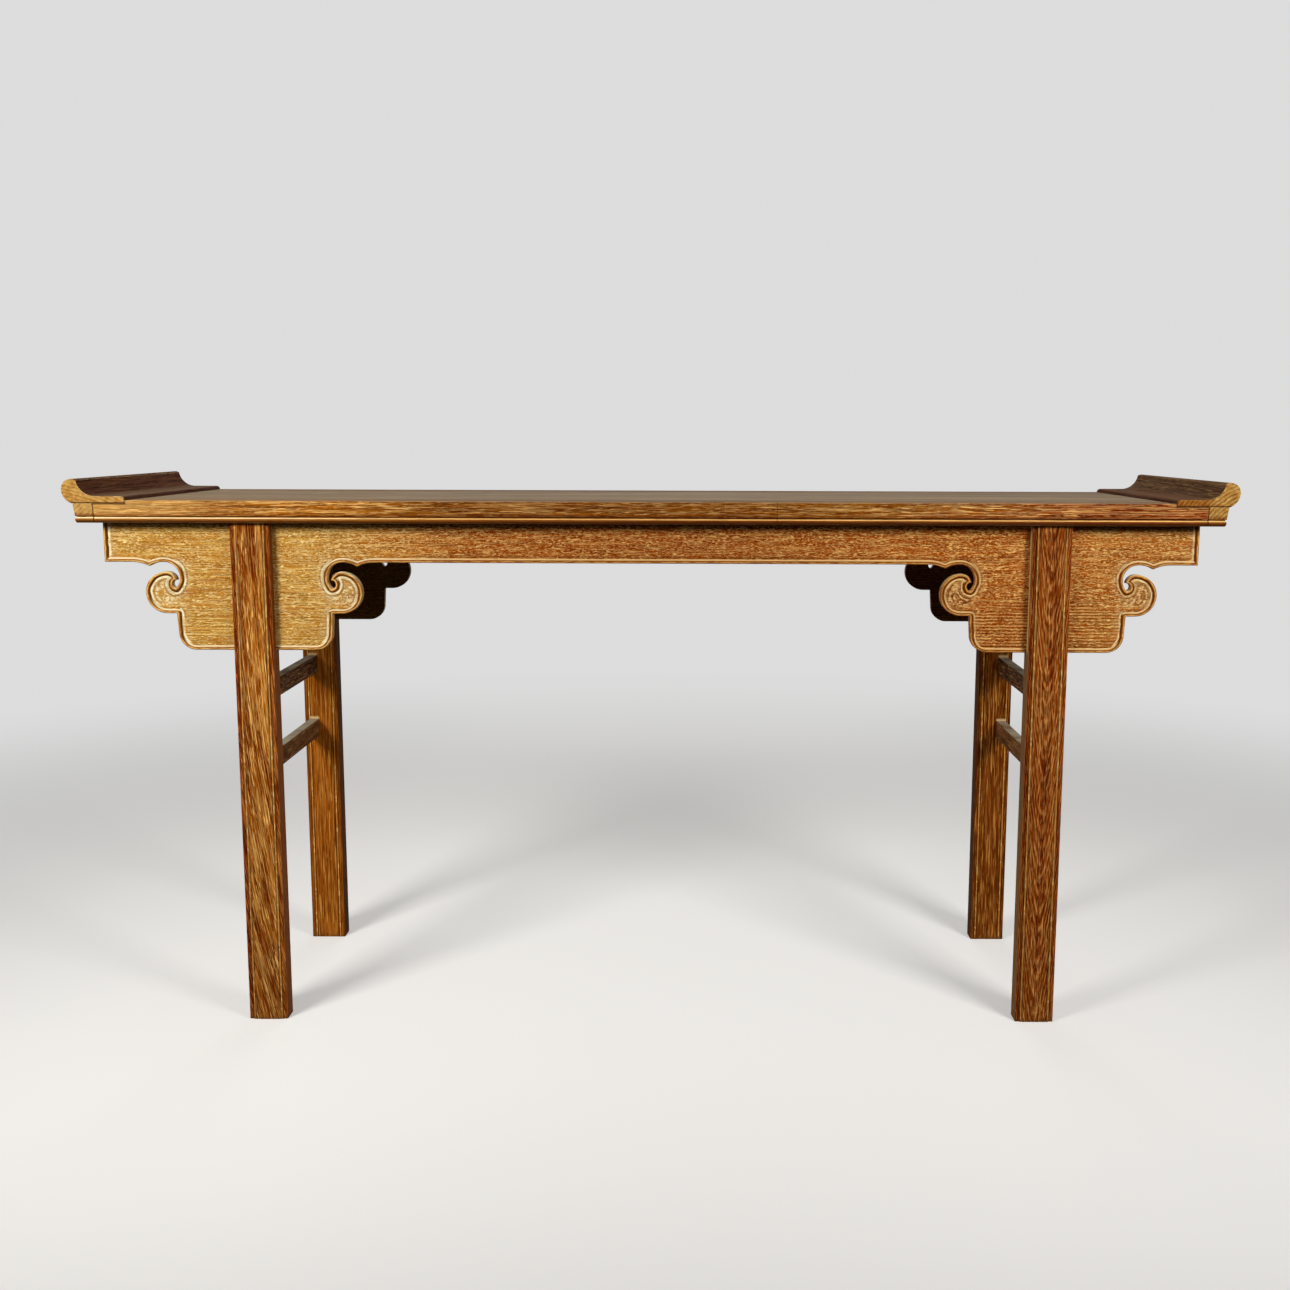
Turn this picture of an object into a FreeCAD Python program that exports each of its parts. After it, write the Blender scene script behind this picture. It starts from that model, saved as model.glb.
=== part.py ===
"""Scribe's table with everted ends: a recessed-leg side table built of framed, jointed hardwood."""
import FreeCAD
import Part
import Sketcher
import math
import os

doc = FreeCAD.newDocument("scribes_table")

# Driving sizes in millimetres: X runs along the table, the front faces -Y, the floor is Z = 0
SIZES = {
    # table top
    "surface_height": 844,
    "top_length": 1783,
    "top_depth": 451,
    "frame_thickness": 35,
    "edge_slope": 2.8,
    "edge_bead": 9.2,
    "quirk_depth": 2,
    "quirk_height": 1.2,
    "end_rail_width": 31.5,
    "stile_width": 72,
    "splice_offset": 115.5,
    "splice_lap": 80,
    "frame_tenon_length": 18,
    "frame_tenon_width": 44,
    "frame_tenon_thickness": 10,
    "frame_tenon_rise": 5,
    "panel_thickness": 15,
    "tongue_thickness": 6,
    "tongue_length": 8,
    # battens under the panel
    "batten_count": 5,
    "batten_margin": 80,
    "batten_width": 36,
    "batten_depth": 17,
    "batten_tenon_length": 20,
    "batten_tenon_thickness": 9,
    "key_height": 5,
    "key_neck": 14,
    "key_head": 18,
    # everted flanges
    "flange_run": 82,
    "flange_overhang": 15.5,
    "flange_rise": 32.5,
    "flange_let_in": 5,
    "flange_foot": 6,
    "foot_round": 6.5,
    "roll_radius": 16,
    "nose_run": 7,
    "nose_drop": 2,
    "cove_run": 29,
    # legs
    "leg_inset": 267,
    "leg_setback": 13.5,
    "leg_width": 61.5,
    "front_prong": 16.5,
    "rear_prong": 7,
    "strip_width": 7.2,
    "strip_depth": 2,
    "thread_width": 3,
    "groove_width": 1.2,
    "groove_depth": 1,
    "leg_round": 3,
    "leg_tenon_height": 20,
    "leg_tenon_width": 40,
    "front_tenon_thickness": 9,
    "rear_tenon_thickness": 5,
    # long aprons with cloud-head spandrels
    "apron_setback": 34.5,
    "apron_height": 62.5,
    "apron_thickness": 10.5,
    "bead_width": 6,
    "bead_relief": 2,
    "neck_reach": 92.3,
    "neck_drop": 58,
    "neck_lean": 1.8,
    "neck_corner": 27,
    "scroll_radius": 33,
    "scroll_gap": 15,
    "scroll_offset": 14.2,
    "opening_radius": 24.2,
    "opening_offset": 17,
    "hook_inset": 8,
    "cusp_offset": 23.2,
    "cusp_drop": 6.4,
    "cusp_run": 27,
    # end aprons
    "end_apron_thickness": 11,
    "end_apron_inset": 4,
    "end_apron_height": 59,
    "end_apron_stub": 3,
    # side stretchers
    "stretcher_width": 17,
    "stretcher_height": 32,
    "stretcher_inset": 9,
    "upper_stretcher_top": 541.5,
    "lower_stretcher_top": 422,
    "stretcher_tenon_length": 22,
    "stretcher_tenon_thickness": 9,
    "stretcher_tenon_height": 22,
    # fits
    "fit_clearance": 0.1,
    "end_gap": 0.5,
}

# Planes and lines that several pieces share, worked out from the driving sizes
PLACES = {
    "underside": "sizes.surface_height - sizes.frame_thickness",
    "top_end": "sizes.top_length / 2",
    "top_front": "sizes.top_depth / 2",
    "rail_inner": "at.top_end - sizes.end_rail_width",
    "stile_inner": "at.top_front - sizes.stile_width",
    "stile_middle": "at.top_front - sizes.stile_width / 2",
    "panel_under": "sizes.surface_height - sizes.panel_thickness",
    "tongue_top": "at.panel_under + sizes.tongue_thickness",
    "flange_seat": "sizes.surface_height - sizes.flange_let_in",
    "flange_inner": "at.top_end - sizes.flange_run",
    "frame_tenon_low": "at.underside + sizes.frame_tenon_rise",
    "frame_tenon_high": "at.frame_tenon_low + sizes.frame_tenon_thickness",
    "batten_outer": "at.rail_inner - sizes.batten_margin",
    "batten_pitch": "2 * at.batten_outer / (sizes.batten_count - 1)",
    "batten_under": "at.panel_under - sizes.batten_depth",
    "batten_tenon_low": "at.panel_under - (sizes.batten_depth + sizes.batten_tenon_thickness) / 2",
    "batten_tenon_high": "at.batten_tenon_low + sizes.batten_tenon_thickness",
    "leg_x": "at.top_end - sizes.leg_inset",
    "leg_outer": "at.leg_x + sizes.leg_width / 2",
    "leg_inner": "at.leg_x - sizes.leg_width / 2",
    "leg_front": "at.top_front - sizes.leg_setback",
    "leg_depth": "sizes.front_prong + sizes.apron_thickness + sizes.rear_prong",
    "leg_back": "at.leg_front - at.leg_depth",
    "slot_back": "sizes.front_prong + sizes.apron_thickness",
    "front_tenon_near": "(sizes.front_prong + sizes.strip_depth - sizes.front_tenon_thickness) / 2",
    "rear_tenon_near": "at.slot_back + (sizes.rear_prong - sizes.rear_tenon_thickness) / 2",
    "field_front": "at.leg_front - sizes.front_prong",
    "bead_front": "at.field_front + sizes.bead_relief",
    "apron_back": "at.field_front - sizes.apron_thickness",
    "apron_end": "at.top_end - sizes.apron_setback",
    "apron_edge": "at.underside - sizes.apron_height",
    "spandrel_foot": "at.apron_edge - sizes.scroll_gap - 2 * sizes.scroll_radius - sizes.neck_drop",
    "end_apron_outer": "at.apron_end - sizes.end_apron_inset",
    "end_apron_inner": "at.end_apron_outer - sizes.end_apron_thickness",
    "end_apron_low": "at.underside - sizes.end_apron_height",
    "stretcher_outer": "at.leg_outer - sizes.stretcher_inset",
    "stretcher_middle": "at.stretcher_outer - sizes.stretcher_width / 2",
}

# Where the slot of the cloud head ends and where its hook comes to a point, degrees round their arcs
SLOT_END_ANGLE = 225
HOOK_TIP_ANGLE = 170

HALF_TURN = FreeCAD.Placement(FreeCAD.Vector(), FreeCAD.Rotation(FreeCAD.Vector(0, 0, 1), 180))
UPRIGHT = FreeCAD.Rotation(FreeCAD.Vector(1, 0, 0), 90)
SIDEWAYS = FreeCAD.Rotation(FreeCAD.Vector(1, 1, 1), 120)


def fill_sheet(name, cells):
    """A spreadsheet with a named cell for each entry."""
    sheet = doc.addObject("Spreadsheet::Sheet", name)
    for row, (alias, content) in enumerate(cells, 1):
        sheet.set(f"A{row}", alias)
        sheet.setAlias(f"B{row}", alias)
        sheet.set(f"B{row}", content)
    doc.recompute()
    return sheet


sizes = fill_sheet("sizes", [(alias, str(number)) for alias, number in SIZES.items()])
at = fill_sheet("at", [(alias, "=" + formula) for alias, formula in PLACES.items()])
nodes = {}


def value(expression):
    """The number that an expression over the two sheets gives."""
    result = at.evalExpression(expression)
    return float(getattr(result, "Value", result))


def keep(label, piece, turned=False):
    """Names a finished piece; a turned one is the same piece at the opposite side of the table."""
    piece.Label = label
    if turned:
        piece.Placement = HALF_TURN
    nodes[label] = piece
    return piece


def box(name, x, y, z):
    """A block between two bounds along each axis, each bound an expression over the sheets."""
    block = doc.addObject("Part::Box", name)
    for size, axis, (low, high) in (("Length", "x", x), ("Width", "y", y), ("Height", "z", z)):
        block.setExpression(size, f"({high}) - ({low})")
        block.setExpression(f"Placement.Base.{axis}", low)
    return block


def mirrored(bound):
    """The same pair of bounds on the other side of the middle."""
    low, high = bound
    return f"-({high})", f"-({low})"


def both_sides(name, x, y, z):
    """Two blocks, one at each end of the table."""
    return [box(name, x, y, z), box(name, mirrored(x), y, z)]


def fuse(name, shapes):
    joined = doc.addObject("Part::MultiFuse", name)
    joined.Shapes = shapes
    return joined


def cut(name, base, tools):
    """The base less every tool."""
    result = doc.addObject("Part::Cut", name)
    result.Base = base
    result.Tool = tools[0] if len(tools) == 1 else fuse(name + "_tools", tools)
    return result


def common(name, one, other):
    result = doc.addObject("Part::Common", name)
    result.Base = one
    result.Tool = other
    return result


def drawing(name, curves, rotation):
    """A sketch of finished curves on an upright plane through the middle of the table."""
    sketch = doc.addObject("Sketcher::SketchObject", name)
    sketch.Placement = FreeCAD.Placement(FreeCAD.Vector(), rotation)
    sketch.addGeometry(curves)
    return sketch


def extrude(name, base, direction, length):
    solid = doc.addObject("Part::Extrusion", name)
    solid.Base = base
    solid.DirMode = "Custom"
    solid.Dir = direction
    solid.Solid = True
    solid.Symmetric = True
    solid.setExpression("LengthFwd", length)
    return solid


def point(across, up):
    return FreeCAD.Vector(across, up, 0)


def line(start, end):
    return Part.LineSegment(point(*start), point(*end))


def arc(start, middle, end):
    return Part.Arc(point(*start), point(*middle), point(*end))


def polyline(corners):
    """Lines from each corner to the next."""
    return [line(start, end) for start, end in zip(corners, corners[1:])]


def polar(centre, radius, degrees):
    turn = math.radians(degrees)
    return centre[0] + radius * math.cos(turn), centre[1] + radius * math.sin(turn)


def springing(level, end):
    """The arc that leaves a point along the level and ends at another point."""
    run = end[0] - level[0]
    rise = end[1] - level[1]
    radius = (run * run + rise * rise) / (2 * rise)
    half = math.atan2(run, radius - rise if rise > 0 else rise - radius) / 2
    middle = level[0] + abs(radius) * math.sin(half), level[1] + radius * (1 - math.cos(half))
    return arc(level, middle, end)


# Table top: edge moulding

def edge_profile(reach):
    """Closed section of the top across one direction, with the same moulded edge at both sides."""
    top = value("sizes.surface_height")
    low = value("at.underside")
    face = reach - value("sizes.edge_slope")
    quirk = face - value("sizes.quirk_depth")
    bead_top = low + value("sizes.edge_bead")
    face_low = bead_top + value("sizes.quirk_height")
    curves = [line((-reach, top), (reach, top)), line((-quirk, low), (quirk, low))]
    for side in (-1, 1):
        edge = [(reach, top), (face, face_low), (quirk, face_low), (quirk, bead_top)]
        curves += polyline([(side * across, up) for across, up in edge])
        bead = [(quirk, bead_top), (face, (bead_top + low) / 2), (quirk, low)]
        curves.append(arc(*[(side * across, up) for across, up in bead]))
    return curves


def moulded_along():
    """The top's section across its depth, run along the table."""
    section = drawing("section_across", edge_profile(value("at.top_front")), SIDEWAYS)
    return extrude("moulded_along", section, FreeCAD.Vector(1, 0, 0), "sizes.top_length")


def moulded_across():
    """The top's section along its length, run across the table."""
    section = drawing("section_along", edge_profile(value("at.top_end")), UPRIGHT)
    return extrude("moulded_across", section, FreeCAD.Vector(0, 1, 0), "sizes.top_depth")


FULL_HEIGHT = ("at.underside", "sizes.surface_height")
LET_IN = ("at.flange_seat", "sizes.surface_height")
GROOVE_HEIGHT = ("at.panel_under", "at.tongue_top + sizes.fit_clearance")


def frame_tenon_bounds(spare):
    """Cross-section of the tenon from a stile into an end rail, made larger by a clearance."""
    half = f"sizes.frame_tenon_width / 2 + {spare}"
    across = (f"at.stile_middle - ({half})", f"at.stile_middle + ({half})")
    return across, (f"at.frame_tenon_low - {spare}", f"at.frame_tenon_high + {spare}")


def batten_places():
    """Places of the battens along the table, from left to right."""
    count = int(value("sizes.batten_count"))
    return [f"{number} * at.batten_pitch - at.batten_outer" for number in range(count)]


def stile_blank(name):
    """A long frame member on the rear side, with its tenons, panel groove and mortises."""
    span = ("-at.rail_inner", "at.rail_inner")
    width = ("at.stile_inner", "at.top_front")
    body = common(name + "_body", moulded_along(), box("reach", span, width, FULL_HEIGHT))
    tenon_x = ("at.rail_inner", "at.rail_inner + sizes.frame_tenon_length")
    tenons = both_sides("tenon", tenon_x, *frame_tenon_bounds("0"))
    groove_y = ("at.stile_inner", "at.stile_inner + sizes.tongue_length + sizes.end_gap")
    tools = [box("panel_groove", span, groove_y, GROOVE_HEIGHT)]
    tools += both_sides("flange_housing", ("at.flange_inner", "at.rail_inner"), width, LET_IN)
    tools += leg_mortises()
    tools += batten_mortises()
    return cut(name, fuse(name + "_tenoned", [body] + tenons), tools)


def leg_mortises():
    """Mortises for the two tenons on each leg."""
    half = "sizes.leg_tenon_width / 2 + sizes.fit_clearance"
    x = (f"at.leg_x - ({half})", f"at.leg_x + ({half})")
    z = ("at.underside", "at.underside + sizes.leg_tenon_height + sizes.end_gap")
    mortises = []
    for near, thickness in (("at.front_tenon_near", "sizes.front_tenon_thickness"),
                            ("at.rear_tenon_near", "sizes.rear_tenon_thickness")):
        outer = f"at.leg_front - {near} + sizes.fit_clearance"
        inner = f"at.leg_front - {near} - {thickness} - sizes.fit_clearance"
        mortises += both_sides("leg_mortise", x, (inner, outer), z)
    return mortises


def batten_mortises():
    half = "sizes.batten_width / 2 + sizes.fit_clearance"
    y = ("at.stile_inner", "at.stile_inner + sizes.batten_tenon_length + sizes.end_gap")
    z = ("at.batten_tenon_low - sizes.fit_clearance", "at.batten_tenon_high + sizes.fit_clearance")
    x_bounds = [(f"{place} - ({half})", f"{place} + ({half})") for place in batten_places()]
    return [box("batten_mortise", x, y, z) for x in x_bounds]


def front_stiles():
    """The front stile, spliced from two lengths by a half lap whose seam shows on the face."""
    beyond = "at.top_end"
    seam = "sizes.splice_offset"
    lap_end = "sizes.splice_offset + sizes.splice_lap"
    face_half = ("-at.top_front", "-at.stile_middle")
    back_half = ("-at.stile_middle", "-at.stile_inner")
    for label, face_x, back_x in (("front_stile_left", ("-" + beyond, seam), ("-" + beyond, lap_end)),
                                  ("front_stile_right", (seam, beyond), (lap_end, beyond))):
        whole = stile_blank(label + "_whole")
        whole.Placement = HALF_TURN
        lengths = [box("face_half", face_x, face_half, FULL_HEIGHT),
                   box("back_half", back_x, back_half, FULL_HEIGHT)]
        keep(label, common(label, whole, fuse(label + "_lengths", lengths)))


def end_rail(label, turned):
    """A short frame member across the end, its end grain moulded like the stiles' faces."""
    across = ("-at.top_front", "at.top_front")
    reach = box("reach", ("at.rail_inner", "at.top_end"), across, FULL_HEIGHT)
    moulded = common(label + "_moulded", moulded_along(), moulded_across())
    groove_x = ("at.rail_inner", "at.rail_inner + sizes.tongue_length + sizes.end_gap")
    groove_half = "at.stile_inner + sizes.tongue_length + sizes.end_gap"
    tools = [box("flange_housing", ("at.rail_inner", "at.top_end"), across, LET_IN),
             box("panel_groove", groove_x, (f"-({groove_half})", groove_half), GROOVE_HEIGHT)]
    mortise_x = ("at.rail_inner", "at.rail_inner + sizes.frame_tenon_length + sizes.end_gap")
    mortise_y, mortise_z = frame_tenon_bounds("sizes.fit_clearance")
    tools += [box("mortise", mortise_x, side, mortise_z) for side in (mortise_y, mirrored(mortise_y))]
    keep(label, cut(label, common(label + "_body", moulded, reach), tools), turned)


# Table top: floating panel and battens

def dovetail(name, spare):
    """The dovetail key along a batten's back, made larger by a clearance for its groove."""
    low = value("at.panel_under")
    high = low + value(f"sizes.key_height + {spare}")
    neck = value(f"sizes.key_neck / 2 + {spare}")
    head = value(f"sizes.key_head / 2 + {spare}")
    curves = polyline([(-neck, low), (neck, low), (head, high), (-head, high), (-neck, low)])
    section = drawing(name + "_section", curves, UPRIGHT)
    return extrude(name, section, FreeCAD.Vector(0, 1, 0), "2 * at.stile_inner")


def panel_board(label, turned):
    """One of the panel's two boards, tongued into the frame and lowered beneath the flanges."""
    field_x = ("-at.rail_inner", "at.rail_inner")
    field_y = ("0", "at.stile_inner")
    field = box("field", field_x, field_y, ("at.panel_under", "sizes.surface_height"))
    tongue_x = ("-at.rail_inner - sizes.tongue_length", "at.rail_inner + sizes.tongue_length")
    tongue_y = ("0", "at.stile_inner + sizes.tongue_length")
    tongue = box("tongue", tongue_x, tongue_y, ("at.panel_under", "at.tongue_top"))
    tools = both_sides("flange_housing", ("at.flange_inner", "at.rail_inner"), field_y, LET_IN)
    for place in batten_places():
        groove = dovetail("key_groove", "sizes.fit_clearance")
        groove.setExpression("Placement.Base.x", place)
        tools.append(groove)
    keep(label, cut(label, fuse(label + "_blank", [field, tongue]), tools), turned)


def batten(label, place):
    """A batten keyed into the panel and tenoned into both stiles."""
    width = ("-sizes.batten_width / 2", "sizes.batten_width / 2")
    rail = box("rail", width, ("-at.stile_inner", "at.stile_inner"), ("at.batten_under", "at.panel_under"))
    reach = "at.stile_inner + sizes.batten_tenon_length"
    tenon_z = ("at.batten_tenon_low", "at.batten_tenon_high")
    tenons = box("tenons", width, (f"-({reach})", reach), tenon_z)
    piece = keep(label, fuse(label, [rail, tenons, dovetail("key", "0")]))
    piece.setExpression("Placement.Base.x", place)


# Everted flanges

def flange_profile():
    """Section of a flange: a flat foot, a hollow rising to the ridge and a roll over the end."""
    surface = value("sizes.surface_height")
    seat = value("at.flange_seat")
    foot = surface + value("sizes.flange_foot")
    ridge_up = surface + value("sizes.flange_rise")
    inner = value("at.flange_inner")
    end = value("at.top_end")
    round_off = value("sizes.foot_round")
    outermost = (end + value("sizes.flange_overhang"), ridge_up - value("sizes.roll_radius"))
    ridge = (outermost[0] - value("sizes.roll_radius"), ridge_up)
    nose = (ridge[0] - value("sizes.nose_run"), ridge_up - value("sizes.nose_drop"))
    cove = (nose[0] - value("sizes.cove_run"), foot)
    foot_start = (inner + round_off, foot)
    foot_low = (inner, foot - round_off)
    round_middle = polar((inner + round_off, foot - round_off), round_off, 135)
    roll_middle = polar((ridge[0], outermost[1]), value("sizes.roll_radius"), 45)
    return [
        line((inner, seat), foot_low),
        arc(foot_low, round_middle, foot_start),
        line(foot_start, cove),
        springing(cove, nose),
        springing(ridge, nose),
        arc(ridge, roll_middle, outermost),
        under_roll(outermost, (end, seat)),
        line((end, seat), (inner, seat)),
    ]


def under_roll(outermost, base):
    """The arc that leaves the roll's outermost point straight down and turns in to the frame's edge."""
    run = outermost[0] - base[0]
    drop = outermost[1] - base[1]
    radius = (run * run + drop * drop) / (2 * run)
    half = math.degrees(math.atan2(drop, radius - run)) / 2
    middle = polar((outermost[0] - radius, outermost[1]), radius, -half)
    return arc(outermost, middle, base)


def flange(label, turned):
    """A flange let into the end rail, the stiles and the panel."""
    body = doc.addObject("PartDesign::Body", label)
    sketch = body_sketch(body, "XZ_Plane", "profile")
    sketch.addGeometry(flange_profile())
    pad = body.newObject("PartDesign::Pad", "strip")
    pad.Profile = sketch
    pad.SideType = "Symmetric"
    pad.setExpression("Length", "sizes.top_depth")
    keep(label, body, turned)


# Helpers for pieces built as bodies

def body_sketch(body, plane, name):
    planes = {feature.Role: feature for feature in body.Origin.OriginFeatures}
    sketch = body.newObject("Sketcher::SketchObject", name)
    sketch.AttachmentSupport = [(planes[plane], "")]
    sketch.MapMode = "FlatFace"
    return sketch


def rectangle(body, name, x, y, start):
    """A level rectangle at a height, its edges bound to the sheets."""
    sketch = body_sketch(body, "XY_Plane", name)
    sketch.setExpression("AttachmentOffset.Base.z", start)
    left, right, front, back = [value(bound) for bound in (*x, *y)]
    corners = [(left, front), (right, front), (right, back), (left, back), (left, front)]
    sketch.addGeometry(polyline(corners))
    for side in range(4):
        sketch.addConstraint(Sketcher.Constraint("Coincident", side, 2, (side + 1) % 4, 1))
        sketch.addConstraint(Sketcher.Constraint("Vertical" if side % 2 else "Horizontal", side))
    bounds = (("left", "DistanceX", 0, 1, left, x[0]), ("right", "DistanceX", 0, 2, right, x[1]),
              ("front", "DistanceY", 0, 1, front, y[0]), ("back", "DistanceY", 1, 2, back, y[1]))
    for bound, kind, side, end, number, expression in bounds:
        index = sketch.addConstraint(Sketcher.Constraint(kind, -1, 1, side, end, number))
        sketch.renameConstraint(index, bound)
        sketch.setExpression("Constraints." + bound, expression)
    return sketch


def add_block(body, name, x, y, z):
    pad = body.newObject("PartDesign::Pad", name)
    pad.Profile = rectangle(body, name + "_outline", x, y, z[0])
    pad.setExpression("Length", f"({z[1]}) - ({z[0]})")


def cut_block(body, name, x, y, z):
    pocket = body.newObject("PartDesign::Pocket", name)
    pocket.Profile = rectangle(body, name + "_outline", x, y, z[0])
    pocket.Reversed = True
    pocket.setExpression("Length", f"({z[1]}) - ({z[0]})")


# Legs and stretchers

def leg_section():
    """Section of a leg: a raised face edged by fine threads, sunk strips beside it and a rounded back."""
    half = value("sizes.leg_width / 2")
    thread_out = half - value("sizes.strip_width")
    thread_in = thread_out - value("sizes.thread_width")
    face = thread_in - value("sizes.groove_width")
    groove = value("sizes.groove_depth")
    strip = value("sizes.strip_depth")
    back = value("at.leg_depth")
    corner = value("sizes.leg_round")
    round_middle = polar((half - corner, back - corner), corner, 45)
    curves = [line((-face, 0), (face, 0)), line((-half + corner, back), (half - corner, back))]
    for side in (-1, 1):

        def put(corners):
            return [(side * across, depth) for across, depth in corners]

        thread = [(thread_in, groove), ((thread_in + thread_out) / 2, 0), (thread_out, groove)]
        curves += polyline(put([(face, 0), (face, groove), (thread_in, groove)]))
        curves.append(arc(*put(thread)))
        outside = [(thread_out, groove), (thread_out, strip), (half, strip), (half, back - corner)]
        curves += polyline(put(outside))
        curves.append(arc(*put([(half, back - corner), round_middle, (half - corner, back)])))
    return curves


def stretcher_heights():
    return [("sizes.upper_stretcher_top - sizes.stretcher_height", "sizes.upper_stretcher_top"),
            ("sizes.lower_stretcher_top - sizes.stretcher_height", "sizes.lower_stretcher_top")]


def tenon_height(low, high, spare):
    """Heights of a stretcher's tenon, centred on the stretcher."""
    middle = f"(({low}) + ({high})) / 2"
    half = f"(sizes.stretcher_tenon_height / 2 + {spare})"
    return f"{middle} - {half}", f"{middle} + {half}"


def leg(label, side, turned):
    """A leg forked over the apron, tenoned into the top and mortised for the stretchers."""
    body = doc.addObject("PartDesign::Body", label)
    section = body_sketch(body, "XY_Plane", "section")
    section.addGeometry(leg_section())
    post = body.newObject("PartDesign::Pad", "post")
    post.Profile = section
    post.setExpression("Length", "at.underside")
    width = ("-sizes.leg_width / 2", "sizes.leg_width / 2")
    slot_y = ("sizes.front_prong", "at.slot_back")
    cut_block(body, "apron_slot", width, slot_y, ("at.spandrel_foot", "at.underside"))
    tenon_x = ("-sizes.leg_tenon_width / 2", "sizes.leg_tenon_width / 2")
    tenon_z = ("at.underside", "at.underside + sizes.leg_tenon_height")
    for name, near, thickness in (("front_tenon", "at.front_tenon_near", "sizes.front_tenon_thickness"),
                                  ("rear_tenon", "at.rear_tenon_near", "sizes.rear_tenon_thickness")):
        add_block(body, name, tenon_x, (near, f"{near} + {thickness}"), tenon_z)
    middle = f"{side} * (at.stretcher_middle - at.leg_x)"
    half = "(sizes.stretcher_tenon_thickness / 2 + sizes.fit_clearance)"
    mortise_x = (f"{middle} - {half}", f"{middle} + {half}")
    mortise_y = ("at.leg_depth - sizes.stretcher_tenon_length - sizes.end_gap", "at.leg_depth")
    for name, (low, high) in zip(("upper_mortise", "lower_mortise"), stretcher_heights()):
        cut_block(body, name, mortise_x, mortise_y, tenon_height(low, high, "sizes.fit_clearance"))
    keep(label, body, turned)
    turn = -1 if turned else 1
    body.setExpression("Placement.Base.x", f"{side * turn} * at.leg_x")
    body.setExpression("Placement.Base.y", f"{-turn} * at.leg_front")


def stretcher(label, side, low, high):
    """A stretcher between a front and a rear leg, with a tenon at each end."""
    body = doc.addObject("PartDesign::Body", label)
    width = ("-sizes.stretcher_width / 2", "sizes.stretcher_width / 2")
    add_block(body, "rail", width, ("-at.leg_back", "at.leg_back"), (low, high))
    tenon_x = ("-sizes.stretcher_tenon_thickness / 2", "sizes.stretcher_tenon_thickness / 2")
    tenon_y = "at.leg_back + sizes.stretcher_tenon_length"
    add_block(body, "tenons", tenon_x, (f"-({tenon_y})", tenon_y), tenon_height(low, high, "0"))
    keep(label, body)
    body.setExpression("Placement.Base.x", f"{side} * at.stretcher_middle")


# Aprons

def half_spandrel(centre, side):
    """Lower outline of one half of a cloud-head spandrel, and its two ends.

    It runs from the apron's straight edge over a pointed cusp, round the slot, back along the
    hook and the scroll to the neck, and down to the spandrel's foot beside the leg.
    """
    edge = value("at.apron_edge")
    foot = value("at.spandrel_foot")
    neck = value("sizes.leg_width / 2 + sizes.neck_reach")
    gap = value("sizes.scroll_gap")
    scroll_radius = value("sizes.scroll_radius")
    slot_radius = value("sizes.opening_radius")
    hook_radius = slot_radius - value("sizes.hook_inset")
    slot = (neck + value("sizes.opening_offset"), edge - slot_radius)
    scroll = (neck + value("sizes.scroll_offset"), edge - gap - scroll_radius)
    hook = (scroll[0], edge - gap - hook_radius)
    cusp = (slot[0] + value("sizes.cusp_offset"), edge - value("sizes.cusp_drop"))
    run_out = (cusp[0] + value("sizes.cusp_run"), edge)
    crown = (slot[0], edge)
    slot_end = polar(slot, slot_radius, SLOT_END_ANGLE)
    tip = polar(hook, hook_radius, HOOK_TIP_ANGLE)
    scroll_top = (scroll[0], edge - gap)
    scroll_foot = (scroll[0], scroll[1] - scroll_radius)
    corner = value("sizes.neck_corner")
    side_low = (neck - value("sizes.neck_lean"), foot + corner)
    corner_middle = polar((side_low[0] - corner, side_low[1]), corner, -45)
    sole = (side_low[0] - corner, foot)
    pocket_run = tip[0] - slot_end[0]
    pocket_rise = tip[1] - slot_end[1]
    pocket = (tip[0] - (pocket_run - pocket_rise) / 2, tip[1] - (pocket_rise + pocket_run) / 2)

    def put(spot):
        return centre + side * spot[0], spot[1]

    def put_arc(*spots):
        return arc(*[put(spot) for spot in spots])

    outline = [
        springing(put(run_out), put(cusp)),
        springing(put(crown), put(cusp)),
        put_arc(crown, polar(slot, slot_radius, (90 + SLOT_END_ANGLE) / 2), slot_end),
        put_arc(slot_end, pocket, tip),
        put_arc(tip, polar(hook, hook_radius, (90 + HOOK_TIP_ANGLE) / 2), scroll_top),
        put_arc(scroll_top, polar(scroll, scroll_radius, 0), scroll_foot),
        line(put(scroll_foot), put((neck, scroll_foot[1]))),
        line(put((neck, scroll_foot[1])), put(side_low)),
        put_arc(side_low, corner_middle, sole),
    ]
    return outline, put(run_out), put(sole)


def apron_outline():
    """Outline of a long apron: one board with a spandrel either side of each leg."""
    end = value("at.apron_end")
    top = value("at.underside")
    edge = value("at.apron_edge")
    leg_x = value("at.leg_x")
    curves = [line((-end, top), (end, top))]
    inner_ends = []
    for side in (-1, 1):
        outer, outer_run, outer_sole = half_spandrel(side * leg_x, side)
        inner, inner_run, inner_sole = half_spandrel(side * leg_x, -side)
        curves += outer + inner
        curves += polyline([(side * end, top), (side * end, edge), outer_run])
        curves.append(line(outer_sole, inner_sole))
        inner_ends.append(inner_run)
    curves.append(line(*inner_ends))
    return curves


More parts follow.
